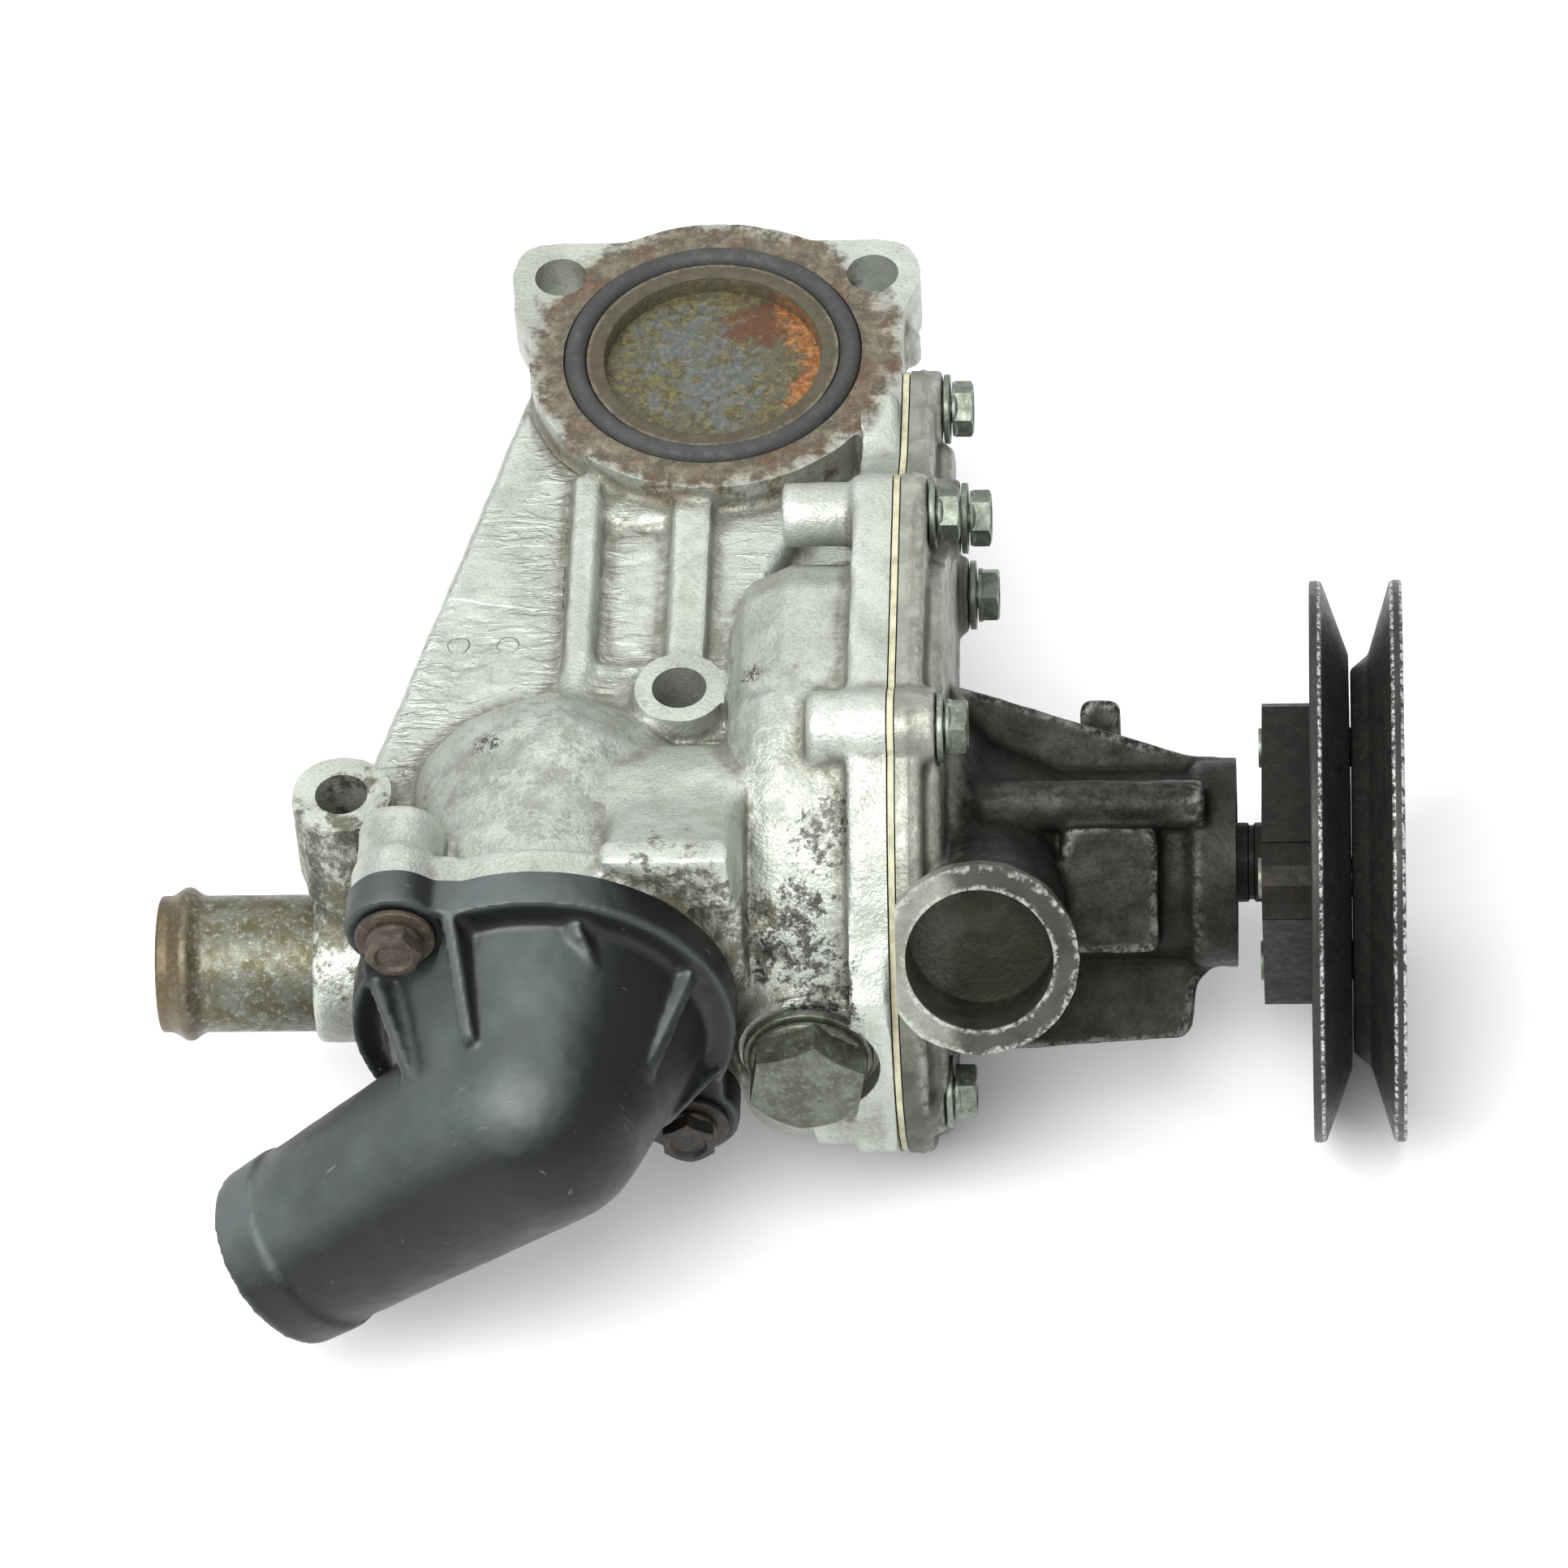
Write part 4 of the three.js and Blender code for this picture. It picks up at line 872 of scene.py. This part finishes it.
def web_ripples(points, normals):
    """Long low waves in the cast skin of the web plate."""
    on_web = between_limits(points[:, 2], -8 * MM, -4 * MM, 0.5 * MM)
    on_web *= between_limits(points[:, 1], -100 * MM, -28 * MM, 8 * MM)
    on_web *= between_limits(points[:, 0], -80 * MM, -6 * MM, 3 * MM)
    on_web *= np.clip(normals[:, 2] * 3 - 1.5, 0, 1)
    ridges = waves(points, 3.4 * MM, 11, stretch=(3, 1, 1))
    patchy = np.clip(0.55 + 0.5 * waves(points, 34 * MM, 12), 0.1, 1)
    return on_web * patchy * 0.3 * MM * (1 - np.abs(ridges))


def housing_piece():
    """The housing. Its flat faces start proud, and are cut back once the casting is soft."""
    points, faces = cad_shape("housing")
    at_top = (np.abs(points[:, 2]) < 0.2 * MM) & (points[:, 0] < HOUSING_FACE_X + GAP)
    points[at_top, 2] += PROUD
    at_front = points[:, 1] < HOUSING_FRONT_Y + 0.2 * MM
    points[at_front, 1] -= PROUD
    thermostat = foot(THERMOSTAT, Y)
    front = -HOUSING_FRONT_Y
    edge = [(VOLUTE_BACK_X + VOLUTE_EDGE * (1 - math.sin(a)), 3.5 * MM + VOLUTE_EDGE * (1 - math.cos(a)))
            for a in np.radians(np.linspace(90, 0, 10))]
    dome = [(DOME_R * math.cos(a), DOME_BACK - DOME_DEPTH * math.sin(a))
            for a in np.radians(np.linspace(90, 0, 16))]
    dome.append((DOME_R, front))
    shapes = [
        (points, faces),
        rod((0, 0, 0), Z, PORT_R, -13.5 * MM, PROUD, 128),
        lathe(thermostat, FRONT, dome),
        rod(thermostat, FRONT, SEAT_R, front - 7 * MM, front + PROUD, 96),
        fan([*edge, (HOUSING_FACE_X, 3.5 * MM)], *ARC),
        fan([(31.5 * MM, 0), (HOUSING_FACE_X + PROUD, 0)], *ARC),
        stretched_gasket(33 * MM, HOUSING_FACE_X + PROUD),
        rod((0, *NECK[0]), X, NECK[1], -28 * MM, VOLUTE_BACK_X + 4 * MM, 96),
        rod(foot(STUB, X), X, STUB_BOSS_R, -76.5 * MM, -40 * MM),
        rod(foot(PLUG, Y), FRONT, PLUG_BOSS_R, 112 * MM, -PLUG_FACE_Y + PROUD),
        rod(foot(MIDDLE_BOSS, Z), Z, BOSS_R["middle"], -18 * MM, PROUD),
        rod(foot(FRONT_BOSS, Z), Z, BOSS_R["front"], -20 * MM, PROUD),
    ]
    for ear in EARS:
        shapes.append(rod(foot(ear, Z), Z, EAR_R, -15 * MM, PROUD))
    for node in COVER_SCREWS:
        lug = foot(middle(node), Y)
        shapes.append(rod(lug, FRONT, COVER_LUG_R, front - 7 * MM, front + PROUD))
    for node in PUMP_SCREWS:
        lug = foot(middle(node), X)
        shapes.append(rod(lug, X, LUG_R, 31.5 * MM, HOUSING_FACE_X + PROUD))
    soft = [(SHELF_BACK, 20 * MM), (DOME_CROWN, 22 * MM)]
    piece = cast("pump_housing_casting", shapes, 0.9 * MM, 5, 3, ripple=web_ripples, soft=soft)
    cut(piece, housing_machining(thermostat, front))
    keep_inside(piece, "housing")
    return piece


def housing_machining(thermostat, front):
    """What is cut out of the soft casting: its flat faces first, then its bores and holes."""
    seal_low, seal_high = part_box("port_o_ring")
    groove_out = seal_high.x + GAP
    groove_in = groove_out - (seal_high.z - seal_low.z) - 2 * GAP
    stub_hole_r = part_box("heater_stub")[1].y - STUB.y - 1.4 * MM
    above, before = 10 * MM, 180 * MM  # clear of the casting's top and of its front
    lip = 0.9 * MM
    port = [
        (0, PORT_FLOOR_Z), (PORT_BORE_R, PORT_FLOOR_Z), (PORT_BORE_R, -lip),
        (PORT_BORE_R + 0.3 * lip, -0.3 * lip), (PORT_BORE_R + lip, 0),
        (PORT_BORE_R + lip, above), (0, above),
    ]
    tools = [
        slab((-60 * MM, -38.4 * MM, 0), (31.4 * MM, 50 * MM, above)),
        slab((31 * MM, -16 * MM, 0), (50 * MM, 50 * MM, above)),
        rod(foot(MIDDLE_BOSS, Z), Z, BOSS_R["middle"] + 0.9 * MM, 0, above),
        rod(foot(FRONT_BOSS, Z), Z, BOSS_R["front"] + 1.5 * MM, 0, above),
        slab((HOUSING_FACE_X, -before, -120 * MM), (60 * MM, 6 * MM, 40 * MM)),
        slab((-90 * MM, -before, -80 * MM), (8.6 * MM, -front, 30 * MM)),
        rod(foot(PLUG, Y), FRONT, PLUG_BOSS_R + 0.5 * MM, -PLUG_FACE_Y, before),
        loop((0, 0, 0), Z, groove_in, groove_out, seal_low.z - GAP, above, 128),
        lathe((0, 0, 0), Z, port, 128),
        rod(foot(MIDDLE_BOSS, Z), Z, 5.5 * MM, -25 * MM, above),
        rod(foot(FRONT_BOSS, Z), Z, 5.25 * MM, -21.5 * MM, above),
        rod(thermostat, FRONT, CHAMBER_R, CHAMBER_BACK, before, 96),
        rod(thermostat, FRONT, 31.2 * MM, front - 3.3 * MM, before, 96),
        rod(foot(STUB, X), X, stub_hole_r, -90 * MM, -61.7 * MM),
        rod(foot(PLUG, Y), FRONT, PLUG_HOLE_R, 140 * MM, before),
    ]
    for ear in EARS:
        tools.append(rod(foot(ear, Z), Z, BLOCK_HOLE_R, -30 * MM, above))
    for node in COVER_SCREWS:
        tools.append(rod(foot(middle(node), Y), FRONT, SCREW_HOLE_R, 139 * MM, before, 32))
    for node in PUMP_SCREWS:
        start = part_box(node)[0].x - 0.6 * MM
        tools.append(rod(foot(middle(node), X), X, SCREW_HOLE_R, start, 60 * MM, 32))
    return tools


def body_piece():
    """The dark casting with the bearing tube and the open pipe."""
    shapes = [
        cad_shape("pump_body"),
        stretched_gasket(BODY_FACE_X - PROUD, 45 * MM),
        fan([(BODY_FACE_X - PROUD, 0), (46.3 * MM, 0)], *ARC),
        lathe(SHAFT, X, [
            (33 * MM, 47 * MM), (32 * MM, 52 * MM), (25 * MM, 58 * MM), (19 * MM, 72 * MM),
            (19 * MM, 97 * MM), (21 * MM, 99.5 * MM), (21 * MM, BODY_END_X + PROUD),
        ]),
        between(PIPE_END - PIPE_AXIS * 48 * MM, PIPE_END - PIPE_AXIS * 7 * MM, PIPE_R, PIPE_R),
        between(PIPE_END - PIPE_AXIS * 7 * MM, PIPE_END - PIPE_AXIS * 4 * MM, PIPE_R, COLLAR_R),
        between(PIPE_END - PIPE_AXIS * 4 * MM, PIPE_END + PIPE_AXIS * PROUD, COLLAR_R, COLLAR_R),
    ]
    for node in PUMP_SCREWS:
        shapes.append(rod(foot(middle(node), X), X, LUG_R, BODY_FACE_X - PROUD, screw_seat(node)))
    piece = cast("pump_body_casting", shapes, 0.8 * MM, 4, 21, ripple=parting_line)
    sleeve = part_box("shaft_bearing")[1].z - SHAFT.z + GAP
    tools = [
        slab((BODY_FACE_X - 20 * MM, -190 * MM, -120 * MM), (BODY_FACE_X, 40 * MM, 40 * MM)),
        rod(SHAFT, X, 30 * MM, BODY_END_X, BODY_END_X + 20 * MM),
        rod(SHAFT, X, sleeve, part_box("shaft_bearing")[0].x - GAP, BODY_END_X + 10 * MM),
        rod(PIPE_END, PIPE_AXIS, 26 * MM, 0, 12 * MM),
        rod(PIPE_END, PIPE_AXIS, 14.6 * MM, -17 * MM, 5 * MM, 96),
    ]
    for node in PUMP_SCREWS:
        seat = screw_seat(node)
        tools.append(rod(foot(middle(node), X), X, 7.9 * MM, seat, seat + 12 * MM))
        tools.append(rod(foot(middle(node), X), X, SCREW_HOLE_R, 30 * MM, 70 * MM, 32))
    cut(piece, tools)
    keep_inside(piece, "pump_body")
    return piece


def screw_seat(node):
    """Where a pump screw's washer meets the pump body, along X."""
    washer = node.replace("bolt", "washer")
    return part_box(washer)[0].x - GAP


def parting_line(points, normals):
    """A thin raised line where the two halves of the mould met, round the flange's edge."""
    place = (BODY_FACE_X + 46.3 * MM) / 2
    near = np.clip(1 - np.abs(points[:, 0] - place) / (0.9 * MM), 0, 1)
    return near * np.clip(1 - np.abs(normals[:, 0]) * 3, 0, 1) * 0.35 * MM


def cover_piece():
    """The moulded elbow: two cones that meet in a globe, on a flat round cover."""
    points, faces = cad_shape("thermostat_cover")
    at_back = points[:, 1] > COVER_JOINT_Y - 0.2 * MM
    points[at_back, 1] += PROUD
    centre = foot(THERMOSTAT, Y)
    back, face = -COVER_JOINT_Y, -COVER_FACE_Y
    bead = OUTLET_END - OUTLET_AXIS * 10 * MM
    root = Vector((THERMOSTAT.x, COVER_JOINT_Y - 5 * MM, THERMOSTAT.z))
    shapes = [
        (points, faces),
        rod(centre, FRONT, COVER_R, back - PROUD, face, 96),
        onto_globe(root, 33 * MM, ELBOW_CORNER, ELBOW_R),
        globe(ELBOW_CORNER, ELBOW_R),
        onto_globe(OUTLET_END - OUTLET_AXIS * MM, 18.3 * MM, ELBOW_CORNER, ELBOW_R),
        between(bead, OUTLET_END, 19.8 * MM, 19.2 * MM, 96),
    ]
    for node in COVER_SCREWS:
        shapes.append(rod(foot(middle(node), Y), FRONT, 10 * MM, back - PROUD, face))
    piece = cast("thermostat_cover_moulding", shapes, 0.7 * MM, 4, 31, skin=0.02 * MM)
    tools = [
        slab((-90 * MM, COVER_JOINT_Y, -90 * MM), (20 * MM, COVER_JOINT_Y + 20 * MM, 40 * MM)),
        rod(OUTLET_END, OUTLET_AXIS, 26 * MM, 0, 12 * MM),
        rod(OUTLET_END, OUTLET_AXIS, 15.5 * MM, -40 * MM, 12 * MM, 96),
    ]
    for node in COVER_SCREWS:
        tools.append(rod(foot(middle(node), Y), FRONT, SCREW_HOLE_R, back - 2 * MM, face + 9 * MM, 32))
        tools.append(rod(foot(middle(node), Y), FRONT, 9.2 * MM, face, face + 12 * MM))
    cut(piece, tools)
    keep_inside(piece, "thermostat_cover")
    return piece


# ---------------------------------------------------------------- turned and pressed pieces


def hexagon(flats):
    """Radius of a hexagon at each angle."""
    def radius(angles):
        return flats / 2 / np.cos((angles + math.pi / 6) % (math.pi / 3) - math.pi / 6)
    return radius


def hex_head(origin, axis, flats, start, stop, turn, hollow=0.0):
    """A hexagon head with its corners chamfered, and a shallow dish in its top if asked for."""
    across = hexagon(flats)
    rim = flats / 2 * 0.97
    slope = math.tan(math.radians(28))

    def top_edge(angles):
        return stop - (across(angles) - rim) * slope

    profile = [(across, start), (across, top_edge), (rim, stop)]
    if hollow:
        profile += [(rim * 0.78, stop), (rim * 0.66, stop - hollow)]
    profile.append((0, stop - hollow))
    return lathe(origin, axis, profile, 96, turn)


# Width across flats, height of the head, and radius of the shank.
SCREWS = {
    "M6": (10 * MM, 4.4 * MM, 2.9 * MM),
    "M8": (13 * MM, 5.3 * MM, 4 * MM),
}


def flanged_screw(node, axis, turn, name, look, size="M6"):
    """A screw in the place of its CAD node: chamfered hexagon, thin flange and shank."""
    low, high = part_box(node)
    ends = sorted((low.dot(axis), high.dot(axis)))
    origin = foot(middle(node), axis)
    flats, height, shank = SCREWS[size]
    head = ends[1] - height
    flange = flats * 0.56
    profile = rounded([(flange, head), (flange, head + 0.9 * MM), (flats * 0.48, head + 1.5 * MM)], 0.3 * MM)
    flange_shape = lathe(origin, axis, [(0, head), *profile, (0, head + 1.5 * MM)], 64)
    piece = make(name, [
        flange_shape,
        hex_head(origin, axis, flats, head + 0.6 * MM, ends[1], turn, 0.7 * MM),
        rod(origin, axis, shank, ends[0], head + 0.2 * MM, 32),
    ])
    finish_piece(piece, node, look, 30)


def washer_piece(node, axis, name, look):
    low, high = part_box(node)
    start, stop = sorted((low.dot(axis), high.dot(axis)))
    outer = (high.z - low.z) / 2
    corners = [(SCREW_HOLE_R, start), (outer, start), (outer, stop), (SCREW_HOLE_R, stop)]
    ring = lathe(foot(middle(node), axis), axis, rounded(corners, 0.3 * MM), 64, cap=False)
    piece = make(name, [ring])
    finish_piece(piece, node, look)


def plug_piece(look):
    low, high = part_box("drain_plug")
    origin = foot(PLUG, Y)
    front = -low.y
    seat = front - 8.6 * MM
    flange = rounded([(11.9 * MM, seat), (11.9 * MM, seat + 1.2 * MM), (10.6 * MM, seat + 2 * MM)], 0.5 * MM)
    piece = make("drain_plug_screw", [
        lathe(origin, FRONT, [(0, seat), *flange, (0, seat + 2 * MM)]),
        hex_head(origin, FRONT, 21.5 * MM, seat + 1 * MM, front, -0.16),
        rod(origin, FRONT, 9 * MM, -high.y, seat + 0.5 * MM),
    ])
    finish_piece(piece, "drain_plug", look, 30)


def plug_seal_piece(look):
    low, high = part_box("drain_plug_seal")
    origin = foot(PLUG, Y)
    rim = 13 * MM
    corners = [(PLUG_HOLE_R, -high.y), (rim, -high.y), (rim, -low.y), (PLUG_HOLE_R, -low.y)]
    piece = make("drain_plug_washer", [lathe(origin, FRONT, rounded(corners, 0.5 * MM), cap=False)])
    finish_piece(piece, "drain_plug_seal", look)


def stub_piece(look):
    low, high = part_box("heater_stub")
    origin = foot(STUB, X)
    tube, bore, bead = 13.75 * MM, 11.3 * MM, high.y - STUB.y
    profile = [
        (bore, low.x), (tube, low.x), (tube, low.x + 2.4 * MM), (tube + 0.7 * MM, low.x + 3.6 * MM),
        (bead, low.x + 5 * MM), (bead, low.x + 6.5 * MM), (tube + 0.7 * MM, low.x + 7.7 * MM),
        (tube, low.x + 9 * MM), (tube, high.x), (bore, high.x),
    ]
    piece = make("heater_stub_tube", [lathe(origin, X, rounded(profile, 0.8 * MM), 128, cap=False)])
    finish_piece(piece, "heater_stub", look, 50)


def seal_piece(look):
    low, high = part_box("port_o_ring")
    section = (high.z - low.z) / 2
    centre_r = high.x - section
    angles = np.linspace(0, 2 * math.pi, 24, endpoint=False)
    profile = [(centre_r + section * math.cos(a), low.z + section + section * math.sin(a)) for a in angles]
    piece = make("port_seal_ring", [lathe((0, 0, 0), Z, profile, 160, cap=False)])
    finish_piece(piece, "port_o_ring", look, 60)


def pulley_half(node, name, profile, look):
    places = [middle(f"pulley_bolt_{i}") for i in (1, 2, 3)]
    piece = make(name, [lathe(SHAFT, X, rounded(profile, 0.7 * MM), 160, cap=False)])
    cut(piece, [rod(foot(place, X), X, 4.3 * MM, 110 * MM, 160 * MM, 32) for place in places])
    finish_piece(piece, node, look, 40)


def pulley_pieces(look):
    inner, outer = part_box("pulley_inner_half"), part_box("pulley_outer_half")
    rim = outer[1].z - SHAFT.z
    left, right = inner[0].x, outer[1].x
    hole = 13 * MM
    pulley_half("pulley_inner_half", "pulley_inner_disc", [
        (hole, left + 4.8 * MM), (37.5 * MM, left + 4.8 * MM), (rim - 1.8 * MM, left), (rim, left),
        (rim, left + 2.4 * MM), (41.5 * MM, left + 7.8 * MM), (hole, left + 8.05 * MM),
    ], look)
    pulley_half("pulley_outer_half", "pulley_outer_disc", [
        (hole, right - 10.5 * MM), (38.5 * MM, right - 10.5 * MM), (41.5 * MM, right - 6.9 * MM),
        (rim, right - 2.4 * MM), (rim, right), (rim - 1.8 * MM, right), (40 * MM, right - 3.9 * MM),
        (36.5 * MM, right - 7.5 * MM), (hole, right - 7.5 * MM),
    ], look)


def hub_piece(look):
    piece = make("drive_hub_block", [cad_shape("drive_hub")])
    bevel = piece.modifiers.new("edges", "BEVEL")
    bevel.width = 0.6 * MM
    bevel.segments = 3
    bevel.limit_method = "ANGLE"
    bevel.angle_limit = math.radians(40)
    bake_modifiers(piece)
    finish_piece(piece, "drive_hub", look, 40)


def spring_piece(look):
    """A coiled wire, closer wound at its ends."""
    low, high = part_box("thermostat_spring")
    wire = 1.1 * MM
    coil = (high.x - low.x) / 2 - wire
    turns = 5
    length = high.y - low.y - 2 * wire
    pitch = length / (2 * math.pi * turns)
    sides = np.linspace(0, 2 * math.pi, 16, endpoint=False)[:, None]
    rings = []
    for t in np.linspace(0, 1, 241):
        angle = 2 * math.pi * turns * t
        share = t - 0.45 * math.sin(2 * math.pi * t) / (2 * math.pi)
        outward = np.array((math.cos(angle), 0, math.sin(angle)))
        along = np.array((-coil * math.sin(angle), pitch, coil * math.cos(angle)))
        across = np.cross(along / np.linalg.norm(along), outward)
        centre = np.array((THERMOSTAT.x, low.y + wire, THERMOSTAT.z)) + coil * outward
        centre[1] += share * length
        rings.append(centre + wire * (np.cos(sides) * outward + np.sin(sides) * across))
    piece = make("thermostat_spring_coil", [closed_rings(rings, cap=True)])
    keep_inside(piece, "thermostat_spring")
    finish_piece(piece, "thermostat_spring", look, 50)
    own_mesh(piece)


def shaft_piece(look):
    low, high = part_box("pump_shaft")
    radius = (high.z - low.z) / 2
    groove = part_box("drive_hub")[0].x - 3 * MM
    profile = [
        (0, low.x), (radius - 0.6 * MM, low.x), (radius, low.x + 1 * MM), (radius, groove),
        (radius - 0.5 * MM, groove + 0.3 * MM), (radius - 0.5 * MM, groove + 1.2 * MM),
        (radius, groove + 1.5 * MM), (radius, high.x - 0.8 * MM), (radius - 0.6 * MM, high.x), (0, high.x),
    ]
    piece = make("pump_shaft_turned", [lathe(SHAFT, X, profile)])
    finish_piece(piece, "pump_shaft", look)


# ---------------------------------------------------------------- the object

zinc = metal_look("zinc_steel", ((0.2, 0.23, 0.185), (0.115, 0.13, 0.1)), (0.3, 0.34, 0.29)).material
rusty = metal_look(
    "rusty_steel", ((0.07, 0.052, 0.037), (0.036, 0.029, 0.022)), (0.16, 0.105, 0.055),
    metal=0.3, rough=(0.45, 0.7), depth=0.2 * MM,
).material
oily_rust = metal_look(
    "oily_rusty_steel", ((0.028, 0.021, 0.016), (0.014, 0.012, 0.01)), (0.06, 0.045, 0.032),
    metal=0.3, rough=(0.4, 0.6), depth=0.15 * MM,
).material
bronze = metal_look(
    "bronze_plug", ((0.12, 0.132, 0.1), (0.07, 0.074, 0.05)), (0.2, 0.25, 0.215), rough=(0.3, 0.5),
).material
dark_look = metal_look(
    "dark_steel", ((0.016, 0.0135, 0.01), (0.009, 0.008, 0.0065)), (0.028, 0.023, 0.017),
    metal=0.35, rough=(0.42, 0.6), depth=0.08 * MM,
)
dark_look.gloss(0.22)
dark = dark_look.material
bright = metal_look("bright_steel", ((0.6, 0.61, 0.62), (0.45, 0.46, 0.47)), (0.3, 0.29, 0.27)).material
wire = metal_look("spring_steel", ((0.4, 0.4, 0.4), (0.28, 0.28, 0.28)), (0.2, 0.19, 0.17)).material
brass = metal_look("thermostat_brass", ((0.5, 0.4, 0.18), (0.36, 0.28, 0.12)), (0.22, 0.18, 0.1)).material
rubber = rubber_look()
paper = gasket_look()
plastic = plastic_look()
dark_casting = body_look()
pulley_paint = pulley_look()

finish_piece(housing_piece(), "housing", housing_look())
finish_piece(body_piece(), "pump_body", dark_casting)
finish_piece(cover_piece(), "thermostat_cover", plastic)

seal_piece(rubber)
stub_piece(stub_look())
plug_piece(bronze)
plug_seal_piece(bronze)
shaft_piece(dark)
hub_piece(dark)
spring_piece(wire)
pulley_pieces(pulley_paint)
for index, node in enumerate(PUMP_SCREWS, 1):
    flanged_screw(node, X, 0.5 + index * 0.7, f"pump_screw_{index}", zinc)
    washer_piece(f"pump_washer_{index}", X, f"pump_screw_washer_{index}", zinc)
for index, (node, look) in enumerate(zip(COVER_SCREWS, (rusty, oily_rust)), 1):
    flanged_screw(node, FRONT, 0.25 + index * 0.4, f"cover_screw_{index}", look)
    washer_piece(f"cover_washer_{index}", FRONT, f"cover_screw_washer_{index}", look)
for index in (1, 2, 3):
    node = f"pulley_bolt_{index}"
    flanged_screw(node, X, 0.3, f"pulley_screw_{index}", zinc, "M8")

CAD_LOOKS = {
    "pump_gasket": paper,
    "thermostat_seal_ring": rubber,
    "thermostat_frame": brass,
    "thermostat_valve": brass,
    "shaft_bearing": bright,
    "seal_counter_ring": bright,
    "shaft_seal": dark,
    "impeller": dark_casting,
}
for node, look in CAD_LOOKS.items():
    mesh = frame["nodes"][node].data
    for index in range(len(mesh.materials)):
        mesh.materials[index] = look


# ---------------------------------------------------------------- floor, light and camera


def floor():
    low = cad_box[0]
    half = 6.0
    points = np.array([[-half, -half, 0], [half, -half, 0], [half, half, 0], [-half, half, 0]])
    points[:, 2] = low[2] - 0.2 * MM
    piece = make("studio_floor", [(points, [(0, 1, 2, 3)])])
    look = Look("studio_floor", 0.0, 0.9)
    look.colour(look.mix(look.noise(0.4, 2), (0.93, 0.93, 0.93), (0.95, 0.95, 0.95)))
    piece.data.materials.append(look.material)


def area_light(name, place, size, power, colour=(1, 1, 1)):
    data = bpy.data.lights.new(name, "AREA")
    data.shape = "RECTANGLE"
    data.size, data.size_y = size
    data.energy = power
    data.color = colour
    light = bpy.data.objects.new(name, data)
    target = Vector((0, -90 * MM, -30 * MM))
    light.location = place
    light.rotation_euler = (target - Vector(place)).to_track_quat("-Z", "Y").to_euler()
    bpy.context.scene.collection.objects.link(light)


def camera():
    """A long lens about 2 m away, 48 degrees above the front and turned a little to the left."""
    right = Vector((0.9983, 0.0306, -0.0500)).normalized()
    up = Vector((0.0105, 0.7456, 0.6660))
    up = (up - right * up.dot(right)).normalized()
    toward = right.cross(up)
    data = bpy.data.cameras.new("camera")
    data.sensor_width = 36
    data.lens = 223.6
    data.clip_end = 50
    view = bpy.data.objects.new("camera", data)
    place = right * 14.74 * MM - up * 88.67 * MM + toward * 2.010
    view.matrix_world = Matrix((right, up, toward)).transposed().to_4x4()
    view.location = place
    bpy.context.scene.collection.objects.link(view)
    bpy.context.scene.camera = view


def studio():
    scene = bpy.context.scene
    world = bpy.data.worlds.new("studio")
    world.use_nodes = True
    background = world.node_tree.nodes["Background"]
    background.inputs["Color"].default_value = (0.97, 0.985, 1, 1)
    background.inputs["Strength"].default_value = 0.7
    scene.world = world
    scene.view_settings.view_transform = "Standard"
    area_light("key", (-0.35, -0.95, 1.35), (1.4, 1.2), 40)
    area_light("back", (-0.2, 0.9, 1.3), (1.5, 0.9), 9)
    floor()
    camera()


studio()
